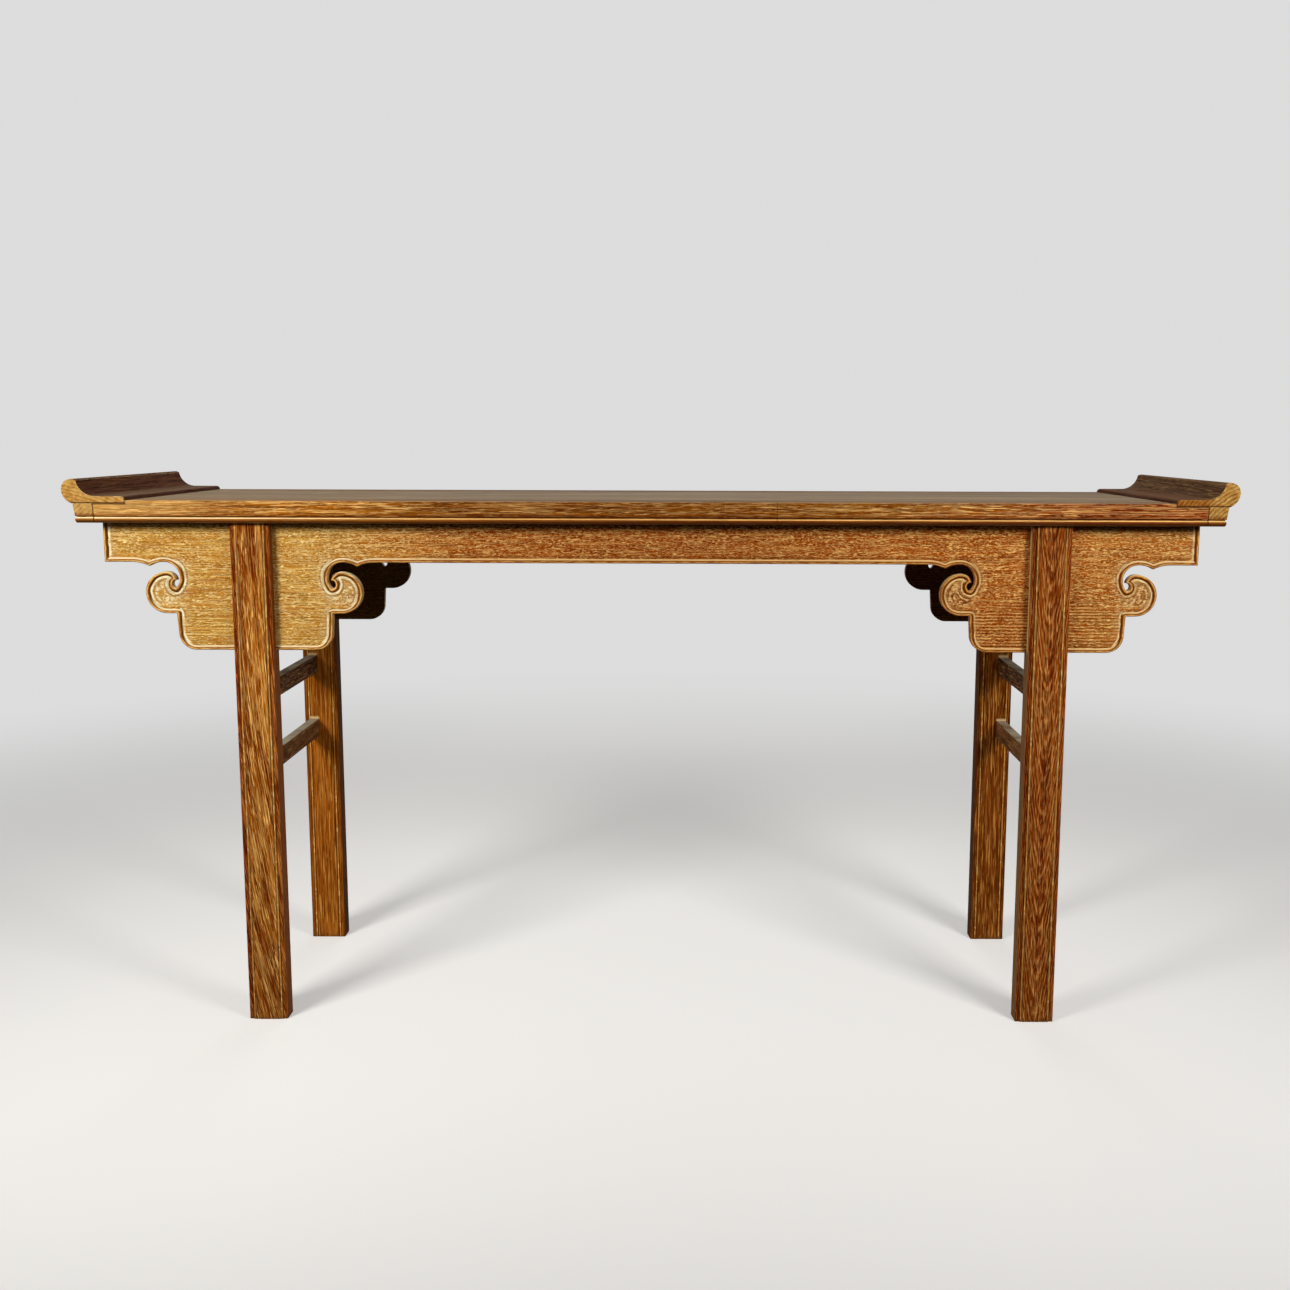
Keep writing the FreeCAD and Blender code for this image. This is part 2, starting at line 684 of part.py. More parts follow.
def long_apron(label, turned):
    """A long apron with its sunk field, so that a raised bead follows the ends and the lower edge."""
    through = FreeCAD.Vector(0, 1, 0)
    outline = drawing(label + "_outline", apron_outline(), UPRIGHT)
    board = extrude(label + "_board", outline, through, "sizes.apron_thickness + sizes.bead_relief")
    board.setExpression("Placement.Base.y", "-(at.bead_front + at.apron_back) / 2")
    inset = doc.addObject("Part::Offset2D", label + "_inset")
    inset.Source = outline
    inset.setExpression("Value", "-sizes.bead_width")
    sunk = extrude(label + "_sunk", inset, through, "sizes.bead_relief")
    sunk.setExpression("Placement.Base.y", "-(at.bead_front + at.field_front) / 2")
    relief = ("-at.bead_front", "-at.field_front")
    field_x = ("sizes.bead_width - at.apron_end", "at.apron_end - sizes.bead_width")
    tools = [sunk, box("top_strip", field_x, relief, ("at.apron_edge + sizes.bead_width", "at.underside"))]
    seat_x = ("at.leg_inner", "at.leg_outer")
    tools += both_sides("leg_seat", seat_x, relief, ("at.spandrel_foot", "at.underside"))
    groove_x = ("at.end_apron_inner - sizes.fit_clearance", "at.end_apron_outer + sizes.fit_clearance")
    groove_y = ("-at.apron_back - sizes.end_apron_stub - sizes.end_gap", "-at.apron_back")
    groove_z = ("at.end_apron_low - sizes.fit_clearance", "at.underside")
    tools += both_sides("end_apron_groove", groove_x, groove_y, groove_z)
    keep(label, cut(label, board, tools), turned)


def end_apron(label, turned):
    """A short apron closing the end, its ends stubbed into the backs of the long aprons."""
    x = ("at.end_apron_inner", "at.end_apron_outer")
    y = ("-at.apron_back - sizes.end_apron_stub", "at.apron_back + sizes.end_apron_stub")
    keep(label, box(label, mirrored(x) if turned else x, y, ("at.end_apron_low", "at.underside")))


def build():
    front_stiles()
    keep("rear_stile", stile_blank("rear_stile"))
    for end, turned in (("right", False), ("left", True)):
        end_rail(f"{end}_end_rail", turned)
        flange(f"{end}_flange", turned)
        end_apron(f"{end}_end_apron", turned)
    for label, turned in (("rear_panel_board", False), ("front_panel_board", True)):
        panel_board(label, turned)
    for number, place in enumerate(batten_places(), 1):
        batten(f"batten_{number}", place)
    for label, turned in (("front_apron", False), ("rear_apron", True)):
        long_apron(label, turned)
    for label, side, turned in (("front_left_leg", -1, False), ("front_right_leg", 1, False),
                                ("rear_right_leg", -1, True), ("rear_left_leg", 1, True)):
        leg(label, side, turned)
    for end, side in (("left", -1), ("right", 1)):
        for level, (low, high) in zip(("upper", "lower"), stretcher_heights()):
            stretcher(f"{end}_{level}_stretcher", side, low, high)
    doc.recompute()


def check():
    """Stops where a piece failed to build or isn't one valid solid."""
    for item in doc.Objects:
        if "Invalid" in item.State or "Error" in item.State:
            raise RuntimeError(f"{item.Label} failed: {item.State}")
    for label, piece in nodes.items():
        shape = piece.Shape
        if shape.isNull() or not shape.isValid() or len(shape.Solids) != 1:
            raise RuntimeError(f"{label} is not one valid solid")


def export():
    os.makedirs("parts", exist_ok=True)
    for label, piece in nodes.items():
        piece.Shape.exportStep(f"parts/{label}.step")
        print(f"{label}: {piece.Shape.Volume / 1000:.1f} cm3")


build()
check()
export()
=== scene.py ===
# %% [markdown]
# # A scribe's table with everted ends
# The table is jointed hardwood: a framed top with upturned flanges, long aprons cut into cloud-head
# scrolls, moulded legs and plain stretchers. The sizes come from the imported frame, so this lesson only
# finishes surfaces: it eases edges, rounds the carved bead and gives each piece its wood.

# %% Load the frame
import math
from functools import partial, reduce

import bmesh
import bpy
from mathutils import Matrix, Vector, geometry, kdtree


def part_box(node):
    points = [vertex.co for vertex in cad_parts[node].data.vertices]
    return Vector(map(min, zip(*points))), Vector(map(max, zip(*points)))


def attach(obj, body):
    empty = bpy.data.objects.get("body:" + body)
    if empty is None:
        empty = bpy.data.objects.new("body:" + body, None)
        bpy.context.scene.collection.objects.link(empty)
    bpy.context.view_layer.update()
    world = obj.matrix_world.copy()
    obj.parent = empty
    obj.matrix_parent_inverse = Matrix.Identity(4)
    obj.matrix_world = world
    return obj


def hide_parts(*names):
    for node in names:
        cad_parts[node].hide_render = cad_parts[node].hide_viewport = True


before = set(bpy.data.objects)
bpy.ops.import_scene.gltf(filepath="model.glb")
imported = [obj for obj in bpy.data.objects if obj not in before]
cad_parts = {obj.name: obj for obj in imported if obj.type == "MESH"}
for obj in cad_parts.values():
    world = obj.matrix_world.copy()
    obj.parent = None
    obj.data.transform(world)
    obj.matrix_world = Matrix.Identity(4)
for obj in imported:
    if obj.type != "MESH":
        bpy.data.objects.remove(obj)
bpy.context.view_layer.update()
MM = 0.001

# %% [markdown]
# ## Camera
# A photograph of furniture is usually taken from a little above the top, with a normal lens. Blender's
# camera takes a lens length, a turn and a shift; the shift slides the picture without turning the camera.

# %% Set up the camera
SENSOR = 36.0
LENS = 40.257
CAMERA_PLACE = (0.07093, -2.45275, 0.94982)
CAMERA_YAW = 0.0015
CAMERA_PITCH = 0.1461
CAMERA_ROLL = 0.0034
CAMERA_SHIFT = -0.0379

scene = bpy.context.scene
camera = bpy.data.objects.new("camera", bpy.data.cameras.new("camera"))
camera.data.sensor_width = SENSOR
camera.data.lens = LENS
camera.data.shift_x = CAMERA_SHIFT
turn = (Matrix.Rotation(CAMERA_YAW, 4, "Z") @ Matrix.Rotation(math.pi / 2 - CAMERA_PITCH, 4, "X")
        @ Matrix.Rotation(CAMERA_ROLL, 4, "Z"))
camera.matrix_world = Matrix.Translation(CAMERA_PLACE) @ turn
scene.collection.objects.link(camera)
scene.camera = camera
scene.view_settings.view_transform = "Standard"
print("camera at", CAMERA_PLACE)

# %% [markdown]
# ## Node helpers
# Materials here are written as node trees. A few small helpers keep that readable. One adds a node and
# fills its inputs with either a number or a link. The others build on it: arithmetic, blends, soft steps,
# noise and marks that a mesh carries.

# %% Node helpers


def add(tree, kind, inputs=None, **settings):
    """A node whose inputs are filled from numbers or from other sockets."""
    made = tree.nodes.new(kind)
    for name, setting in settings.items():
        setattr(made, name, setting)
    for key, feed in (inputs or {}).items():
        if isinstance(feed, bpy.types.NodeSocket):
            tree.links.new(feed, made.inputs[key])
        else:
            made.inputs[key].default_value = feed
    return made


def calc(tree, operation, *values, clamp=False):
    """One step of arithmetic."""
    return add(tree, "ShaderNodeMath", dict(enumerate(values)), operation=operation,
               use_clamp=clamp).outputs[0]


def blend(tree, factor, under, over, mode="MIX"):
    """One colour laid over another."""
    mix = add(tree, "ShaderNodeMix", {0: factor, 6: under, 7: over}, data_type="RGBA", blend_type=mode)
    return mix.outputs[2]


def fade(tree, value, start, end, low=0.0, high=1.0):
    """A smooth change from low to high as the value goes from start to end."""
    return add(tree, "ShaderNodeMapRange", {0: value, 1: start, 2: end, 3: low, 4: high},
               interpolation_type="SMOOTHSTEP").outputs[0]


def vector_calc(tree, operation, *values):
    """One step of arithmetic on places or directions."""
    return add(tree, "ShaderNodeVectorMath", dict(enumerate(values)), operation=operation).outputs[0]


def noise(tree, vector, scale, detail=2.0):
    """A cloudy value between 0 and 1."""
    return add(tree, "ShaderNodeTexNoise", {"Vector": vector, "Scale": scale, "Detail": detail}).outputs[0]


def attribute(tree, name):
    """A mark that the mesh carries."""
    return add(tree, "ShaderNodeAttribute", attribute_name=name).outputs["Fac"]


def facing(tree):
    """The three parts of the direction that a face looks in."""
    looks = add(tree, "ShaderNodeNewGeometry").outputs["Normal"]
    return add(tree, "ShaderNodeSeparateXYZ", {0: looks}).outputs


def rgb(red, green, blue):
    """A full colour from its three parts."""
    return (red, green, blue, 1.0)


print("helpers ready")

# %% [markdown]
# A group is a small tree that many materials share. Its sockets have names, so each material can set them
# for itself. What depends on the view or on the light's path stays out of groups, in the material.

# %% Group helpers
FLOAT = "NodeSocketFloat"
VECTOR = "NodeSocketVector"


def shader_group(name, inputs, outputs):
    """An empty shader group with named inputs and outputs."""
    tree = bpy.data.node_groups.new(name, "ShaderNodeTree")
    for label, kind, start in inputs:
        socket = tree.interface.new_socket(label, in_out="INPUT", socket_type=kind)
        if start is not None:
            socket.default_value = start
    for label, kind in outputs:
        tree.interface.new_socket(label, in_out="OUTPUT", socket_type=kind)
    return tree, tree.nodes.new("NodeGroupInput").outputs, tree.nodes.new("NodeGroupOutput").inputs


def place(tree, group, inputs):
    """A shader group placed in a material with its own values."""
    return add(tree, "ShaderNodeGroup", inputs, node_tree=group).outputs


print("group helpers ready")

# %% [markdown]
# ## Shared effects of the wood
# Wood is long fibres that wander a little, so every pattern here is a noise stretched along the grain.
# The same stretched noise, cut at different levels, gives soft fibre, dark streaks and the pale flecks of
# wax and lime in open pores. Growth rings come from the distance to the tree's heart. Two more groups mark
# rubbed arrises, whose paler line is also a painted highlight, and settled dust.

# %% Group: wandering grain


def squeezed(tree, inlet):
    """Places counted in lengths along the grain and in widths across it."""
    across = calc(tree, "DIVIDE", 1.0, inlet["Width"])
    shares = add(tree, "ShaderNodeCombineXYZ", {
        0: calc(tree, "DIVIDE", 1.0, inlet["Length"]), 1: across, 2: across})
    return vector_calc(tree, "MULTIPLY", inlet["Vector"], shares.outputs[0])


wander_group, inlet, outlet = shader_group(
    "wandering_grain",
    [("Vector", VECTOR, None), ("Length", FLOAT, 0.2), ("Width", FLOAT, 0.03), ("Amount", FLOAT, 0.004)],
    [("Vector", VECTOR)])
sway = add(wander_group, "ShaderNodeTexNoise", {
    "Vector": squeezed(wander_group, inlet), "Scale": 1.0, "Detail": 2.0}).outputs[1]
centred = vector_calc(wander_group, "SUBTRACT", sway, (0.5, 0.5, 0.5))
sideways = vector_calc(wander_group, "MULTIPLY", centred, (0.0, 2.0, 2.0))
pushed = add(wander_group, "ShaderNodeVectorMath", {0: sideways, "Scale": inlet["Amount"]}, operation="SCALE")
moved = vector_calc(wander_group, "ADD", inlet["Vector"], pushed.outputs[0])
wander_group.links.new(moved, outlet["Vector"])
print("group:", wander_group.name)

# %% Group: streaks along the grain
streak_group, inlet, outlet = shader_group(
    "grain_streaks",
    [("Vector", VECTOR, None), ("Length", FLOAT, 0.05), ("Width", FLOAT, 0.002), ("Low", FLOAT, 0.4),
     ("High", FLOAT, 0.6), ("Detail", FLOAT, 2.0)],
    [("Mask", FLOAT)])
fibre = add(streak_group, "ShaderNodeTexNoise", {
    "Vector": squeezed(streak_group, inlet), "Scale": 1.0, "Detail": inlet["Detail"], "Roughness": 0.6})
mask = fade(streak_group, fibre.outputs[0], inlet["Low"], inlet["High"])
streak_group.links.new(mask, outlet["Mask"])
print("group:", streak_group.name)

# %% Group: growth rings
ring_group, inlet, outlet = shader_group(
    "growth_rings",
    [("Vector", VECTOR, None), ("Heart", VECTOR, (0.0, 0.0, 0.0)), ("Ring Width", FLOAT, 0.008),
     ("Taper", FLOAT, 0.02), ("Thinness", FLOAT, 2.5)],
    [("Ring", FLOAT)])
from_heart = vector_calc(ring_group, "SUBTRACT", inlet["Vector"], inlet["Heart"])
flat = vector_calc(ring_group, "MULTIPLY", from_heart, (0.0, 1.0, 1.0))
radius = add(ring_group, "ShaderNodeVectorMath", {0: flat}, operation="LENGTH").outputs["Value"]
along = add(ring_group, "ShaderNodeSeparateXYZ", {0: inlet["Vector"]}).outputs[0]
coned = calc(ring_group, "MULTIPLY_ADD", along, inlet["Taper"], radius)
saw = calc(ring_group, "FRACT", calc(ring_group, "DIVIDE", coned, inlet["Ring Width"]))
ring_group.links.new(calc(ring_group, "POWER", saw, inlet["Thinness"]), outlet["Ring"])
print("group:", ring_group.name)

# %% Group: worn arrises, also a painted highlight
arris_wear_and_highlight_group, inlet, outlet = shader_group(
    "arris_wear_and_highlight", [("Vector", VECTOR, None), ("Amount", FLOAT, 0.7)], [("Mask", FLOAT)])
# Rubbed arrises, paler in patches; the paler line also serves as a painted highlight.
patchy = fade(arris_wear_and_highlight_group, noise(arris_wear_and_highlight_group, inlet["Vector"], 60.0), 0.3, 0.65)
worn = calc(arris_wear_and_highlight_group, "MULTIPLY", attribute(arris_wear_and_highlight_group, "arris"), patchy)
arris_wear_and_highlight_group.links.new(calc(arris_wear_and_highlight_group, "MULTIPLY", worn, inlet["Amount"]), outlet["Mask"])
print("group:", arris_wear_and_highlight_group.name)

# %% Group: dust on level faces
dust_group, inlet, outlet = shader_group(
    "settled_dust", [("Vector", VECTOR, None), ("Amount", FLOAT, 0.5)], [("Mask", FLOAT)])
cloudy = fade(dust_group, noise(dust_group, inlet["Vector"], 25.0, 3.0), 0.2, 0.6)
settled = calc(dust_group, "MULTIPLY", fade(dust_group, facing(dust_group)[2], 0.6, 0.95), cloudy)
dust_group.links.new(calc(dust_group, "MULTIPLY", settled, inlet["Amount"]), outlet["Mask"])
print("group:", dust_group.name)

# %% [markdown]
# ## The wood itself
# A finish is built up in layers, so a small class keeps the colour laid so far and lays the next one over
# it where a mask says. A Mapping node turns the grain to lie along the pattern's X axis, so legs, aprons
# and end rails can share everything else. A lean bends the grain for a board that was cut askew.

# %% Wood under construction
ALONG_X = (0.0, 0.0, 0.0)
ALONG_Y = (0.0, 0.0, -math.pi / 2)
ALONG_Z = (0.0, math.pi / 2, 0.0)
ARRIS_WEAR_AND_HIGHLIGHT = 0.6


class Wood:
    """A wood material under construction: its tree, its places and the colours laid so far."""

    def __init__(self, name, grain, shift=(0.0, 0.0, 0.0), sways=((0.25, 0.03, 0.004),), lean=(0.0, 0.0)):
        self.material = bpy.data.materials.new(name)
        self.material.use_nodes = True
        self.tree = self.material.node_tree
        self.shader = self.tree.nodes["Principled BSDF"]
        self.object = add(self.tree, "ShaderNodeTexCoord").outputs["Object"]
        self.x, self.y, self.z = add(self.tree, "ShaderNodeSeparateXYZ", {0: self.object}).outputs
        self.calc = partial(calc, self.tree)
        self.blend = partial(blend, self.tree)
        self.fade = partial(fade, self.tree)
        self.noise = partial(noise, self.tree, self.object)
        self.attribute = partial(attribute, self.tree)
        fall = self.calc("SUBTRACT", self.z, lean[1])
        bent = self.calc("MULTIPLY", self.calc("MULTIPLY", fall, fall), lean[0])
        upright = add(self.tree, "ShaderNodeCombineXYZ", {
            0: self.calc("SUBTRACT", self.x, bent), 1: self.y, 2: self.z})
        self.grain = add(self.tree, "ShaderNodeMapping", {
            "Vector": upright.outputs[0], "Rotation": grain, "Location": shift}).outputs[0]
        for length, width, amount in sways:
            self.grain = place(self.tree, wander_group, {
                "Vector": self.grain, "Length": length, "Width": width, "Amount": amount})["Vector"]
        self.colour = self.height = self.rough = None

    def outward(self):
        """How far a place is from the table's middle, towards either end."""
        return self.calc("ABSOLUTE", self.x)

    def streaks(self, length, width, low, high, detail=2.0):
        """A mask of streaks along the grain."""
        return place(self.tree, streak_group, {
            "Vector": self.grain, "Length": length, "Width": width, "Low": low, "High": high,
            "Detail": detail})["Mask"]

    def rings(self, heart, width, taper, thinness=2.5):
        """Growth rings round the tree's heart, each rising to its dark side."""
        return place(self.tree, ring_group, {
            "Vector": self.grain, "Heart": heart, "Ring Width": width, "Taper": taper,
            "Thinness": thinness})["Ring"]

    def times(self, *masks):
        """Masks multiplied together."""
        return reduce(partial(self.calc, "MULTIPLY"), masks)

    def band(self, value, start, full, hold, end):
        """A mask that rises from start to full, stays up to hold and is gone at end."""
        return self.times(self.fade(value, start, full), self.fade(value, hold, end, 1.0, 0.0))

    def lay(self, mask, colour, amount=1.0, mode="MIX"):
        """Lays a colour over what is there, where the mask is."""
        factor = mask if amount == 1.0 else self.calc("MULTIPLY", mask, amount)
        self.colour = self.blend(factor, self.colour, colour, mode)

    def tint(self, mask, colour, amount=1.0):
        """Multiplies what is there by a colour, where the mask is."""
        self.lay(mask, colour, amount, "MULTIPLY")

    def wear_and_highlight(self, colour):
        """Rubs the eased arrises paler, in patches, which also paints a highlight along them."""
        self.lay(place(self.tree, arris_wear_and_highlight_group, {"Vector": self.object, "Amount": ARRIS_WEAR_AND_HIGHLIGHT})["Mask"], colour)

    def close(self, bump, specular, roughness=(0.45, 0.7)):
        """Joins the colours, the sheen and the bump to the shader."""
        self.tree.links.new(self.colour, self.shader.inputs["Base Color"])
        self.shader.inputs["Specular IOR Level"].default_value = specular
        self.tree.links.new(self.fade(self.rough, 0.0, 1.0, *roughness), self.shader.inputs["Roughness"])
        relief = add(self.tree, "ShaderNodeBump", {"Strength": 1.0, "Distance": bump, "Height": self.height})
        self.tree.links.new(relief.outputs[0], self.shader.inputs["Normal"])
        self.tell()
        return self.material

    def tell(self):
        """Says how far the material has come."""
        print("wood:", self.material.name, len(self.tree.nodes), "nodes")


print("grain turns:", ALONG_X, ALONG_Y, ALONG_Z)

# %% [markdown]
# One recipe lays the shared effects over each other for any piece: ring tone, fibre, dark streaks, then
# pale flecks of lime. Each piece says how golden or red it is and how long and thick its flecks are. What
# belongs to one piece alone, such as a dirty seam, is laid over it later.

# %% Limed wood
FINE_RISE = 0.3


def limed(name, grain, tones, fleck, fine_fleck, cover, patch=(0.12, 0.03, 0.25, 0.55), line=(0.12, 0.0022),
          broad=(0.4, 0.05), heart=(0.0, 0.35, 0.12), ring=(0.012, 0.01), ring_share=0.5, line_share=0.75,
          pale_share=0.9, fine_share=0.5, shade_share=0.6, long_fleck=None, long_share=0.0, tints=(),
          **place_of):
    """Broad tone, growth rings and dark lines, then pale flecks of lime between darker strokes."""
    wood = Wood(name, grain, **place_of)
    dark, body, light, pale = tones
    wood.colour = wood.blend(wood.streaks(*broad, 0.4, 0.6), body, light)
    wood.lay(wood.rings(heart, *ring), dark, ring_share)
    lines = wood.streaks(*line, 0.52, 0.62)
    wood.lay(lines, dark, line_share)
    wood.lay(wood.streaks(*fleck, 0.46, 0.38, 1.0), dark, shade_share)
    for mask_of, colour in tints:
        wood.tint(mask_of(wood), colour)
    if long_fleck:
        wood.lay(wood.streaks(*long_fleck, *cover, 1.0), pale, long_share)
    flecks = wood.times(wood.streaks(*fleck, *cover, 1.0), wood.streaks(*patch, 1.0))
    wood.lay(flecks, pale, pale_share)
    fine = wood.streaks(*fine_fleck, *cover, 1.0)
    wood.lay(fine, pale, fine_share)
    wood.rough = wood.calc("MAXIMUM", flecks, lines)
    wood.height = wood.calc("SUBTRACT", wood.calc("MULTIPLY", fine, FINE_RISE), wood.rough)
    return wood


print("recipe ready")

# %% [markdown]
# ## Finishing a solid
# The frame's solids have knife-sharp edges. A real table's edges were scraped and rubbed, so each visible
# piece is a copy of its solid with its triangles joined into whole faces and its arrises eased by a fine
# bevel. The bevelled faces keep a mark, so that the wood can be worn paler along them; the paler line is
# also a painted highlight.

# %% Easing edges
MERGE = 0.01 * MM
FLAT = math.radians(1.0)
SHARP = math.radians(30.0)
EASE_STEPS = 2
EASE_PROFILE = 0.5


def joined_form(node):
    """The solid of a frame node with its loose triangles joined."""
    form = bmesh.new()
    form.from_mesh(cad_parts[node].data)
    bmesh.ops.remove_doubles(form, verts=form.verts, dist=MERGE)
    form.normal_update()
    return form


def solid_form(node):
    """The solid of a frame node with its flat faces whole."""
    form = joined_form(node)
    bmesh.ops.dissolve_limit(form, angle_limit=FLAT, verts=form.verts, edges=form.edges)
    return form


def ease(form, width):
    """Eases every sharp edge and marks the eased faces."""
    mark = form.faces.layers.float.new("arris")
    arrises = [edge for edge in form.edges if edge.is_manifold and edge.calc_face_angle() > SHARP]
    eased = bmesh.ops.bevel(form, geom=arrises, offset=width, segments=EASE_STEPS, profile=EASE_PROFILE,
                            affect="EDGES", clamp_overlap=False)
    for face in eased["faces"]:
        face[mark] = 1.0


def mesh_of(name, form):
    """The mesh of a worked form, which is then let go."""
    mesh = bpy.data.meshes.new(name)
    form.to_mesh(mesh)
    form.free()
    return mesh


print("edges sharper than", round(math.degrees(SHARP)), "degrees are eased")

# %% [markdown]
# A bevelled mesh shades best when its normals follow the broad faces, which a Weighted Normal modifier
# does. Modifiers work on an object, so a passing carrier holds the mesh until the result is baked.

# %% Finished pieces


def carrier_of(data):
    """An object that carries a mesh or a curve while a modifier works on it."""
    carrier = bpy.data.objects.new("carrier", data)
    scene.collection.objects.link(carrier)
    return carrier


def baked(carrier):
    """What an object's modifiers make, as a plain mesh; the object itself is taken away."""
    evaluated = carrier.evaluated_get(bpy.context.evaluated_depsgraph_get())
    mesh = bpy.data.meshes.new_from_object(evaluated)
    bpy.data.objects.remove(carrier)
    return mesh


def smooth(mesh):
    """Smooth shading that keeps the sharp edges, with broad faces kept flat."""
    mesh.shade_smooth()
    mesh.set_sharp_from_angle(angle=SHARP)
    carrier = carrier_of(mesh)
    weighting = carrier.modifiers.new("even", "WEIGHTED_NORMAL")
    weighting.keep_sharp = True
    return baked(carrier)


def finished(name, rough_mesh, material, slot, *nodes):
    """A finished piece that rides on the table and stands for its frame nodes."""
    mesh = smooth(rough_mesh)
    mesh.materials.clear()
    mesh.materials.append(material)
    piece = bpy.data.objects.new(name, mesh)
    scene.collection.objects.link(piece)
    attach(piece, "root")
    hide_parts(*nodes)
    print(f"{name}: {len(mesh.polygons)} faces, for {', '.join(nodes)}")


def eased_piece(name, node, material, slot, width):
    """A frame node's solid with eased edges."""
    form = solid_form(node)
    ease(form, width)
    finished(name, mesh_of(name, form), material, slot, node)


print("finishing ready")

# %% [markdown]
# ## Table top
# The frame's long stiles show pale streaks along their faces, and the end rails show end grain at the
# front. The floating panel and the upper faces of the stiles and end rails are painted greyer: wood greyed
# with use, and a painted reflection of the grey surroundings. All of them lie along the table except the
# end rails. The left end is pale and golden. Towards the right the stiles turn redder, with orange streaks.

# %% Wood of the stiles
# Grey for upper faces: greyed wood and a painted reflection of the grey surroundings.
GREYED_AND_REFLECTION = rgb(0.24, 0.155, 0.075)
stile_tones = (rgb(0.12, 0.022, 0.001), rgb(0.40, 0.118, 0.005), rgb(0.52, 0.182, 0.010),
               rgb(1.00, 0.60, 0.19))


def right_half(wood):
    """A mask that grows over the redder right half of the table."""
    return wood.fade(wood.x, 0.2, 0.75)


def right_tip(wood):
    """A mask that grows towards the right tip of the stiles."""
    return wood.fade(wood.x, 0.50, 0.74)


stile = limed("stile_wood", ALONG_X, stile_tones, fleck=(0.028, 0.0016), fine_fleck=(0.014, 0.0011),
              cover=(0.59, 0.62), patch=(0.16, 0.010, 0.30, 0.55), line=(0.18, 0.0018), ring=(0.0046, 0.012),
              heart=(0.0, 0.1, 0.62), ring_share=0.4, line_share=0.7, broad=(0.25, 0.012), shade_share=0.55,
              pale_share=1.0, long_fleck=(0.09, 0.0017), long_share=0.55,
              tints=((right_half, rgb(0.86, 0.50, 0.32)), (right_tip, rgb(0.76, 0.53, 0.41))),
              sways=((0.25, 0.03, 0.004), (0.06, 0.010, 0.0008)))
orange = stile.times(stile.streaks(0.10, 0.0017, 0.55, 0.60, 1.0), right_half(stile))
stile.lay(orange, rgb(1.0, 0.62, 0.25), 0.55)
left_tip = stile.fade(stile.x, -0.58, -0.80)
stile.lay(left_tip, rgb(0.84, 0.54, 0.18), 0.3)
stile.tint(right_tip(stile), rgb(0.82, 0.66, 0.57))
middle = stile.band(stile.x, -0.50, -0.26, 0.10, 0.50)
stile.tint(middle, rgb(0.59, 0.52, 0.50))
right_body = stile.band(stile.x, 0.30, 0.46, 0.74, 0.86)
stile.tint(right_body, rgb(0.86, 0.84, 0.85))
facing_up = facing(stile.tree)[2]
# Upper faces painted greyer: greyed wood and a painted reflection of the grey surroundings.
stile.lay(stile.fade(facing_up, 0.7, 0.95), GREYED_AND_REFLECTION, 0.7)
stile.tell()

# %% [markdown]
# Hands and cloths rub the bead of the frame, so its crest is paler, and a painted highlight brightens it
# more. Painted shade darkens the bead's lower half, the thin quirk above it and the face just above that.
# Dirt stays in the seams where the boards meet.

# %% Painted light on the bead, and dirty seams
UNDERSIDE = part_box("rear_stile")[0].z
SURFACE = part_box("rear_stile")[1].z
SEAM = 860 * MM
FOOT_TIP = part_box("right_flange")[0].x
FOOT_SEAM = 838 * MM
BEAD_HEIGHT = 9.2 * MM
# Dark colour for real dirt in seams and cracks, and for painted shade in hollows and under parts.
DIRT_AND_SHADE = rgb(0.05, 0.013, 0.002)
# Pale colour for rubbed arrises, which also serves as a painted highlight.
RUBBED_AND_HIGHLIGHT = rgb(1.0, 0.70, 0.30)
CREST_HIGHLIGHT_LEFT = rgb(1.0, 0.80, 0.42)
CREST_HIGHLIGHT_REST = rgb(0.96, 0.54, 0.165)
BEAD_LEFT = rgb(0.27, 0.080, 0.007)
BEAD_RIGHT = rgb(0.17, 0.034, 0.002)


def bead_highlight_and_shade(wood):
    """A painted highlight on the bead's rubbed crest, a brown body, and painted shade below it, in the quirk
    and above it.
    """
    up = wood.calc("DIVIDE", wood.calc("SUBTRACT", wood.z, UNDERSIDE), BEAD_HEIGHT)
    body = wood.blend(wood.fade(wood.x, -0.5, 0.1), BEAD_LEFT, BEAD_RIGHT)
    # Painted shade on the face just above the quirk.
    wood.tint(wood.band(up, 1.1, 1.2, 1.45, 1.8), rgb(0.66, 0.50, 0.40))
    wood.lay(wood.band(up, 0.05, 0.2, 0.95, 1.02), body, 0.9)
    # Painted shade on the bead's lower half.
    wood.lay(wood.fade(up, 0.62, 0.30), DIRT_AND_SHADE, 0.85)
    # Painted highlight on the crest, over a crest paled by rubbing.
    paler = wood.blend(wood.fade(wood.x, -0.7, -0.3), CREST_HIGHLIGHT_LEFT, CREST_HIGHLIGHT_REST)
    wood.lay(wood.band(up, 0.72, 0.79, 0.90, 0.98), paler, 0.9)
    # Painted shade in the quirk above the bead.
    wood.lay(wood.band(up, 0.98, 1.05, 1.18, 1.28), DIRT_AND_SHADE, 0.9)


stile.wear_and_highlight(rgb(0.66, 0.36, 0.12))
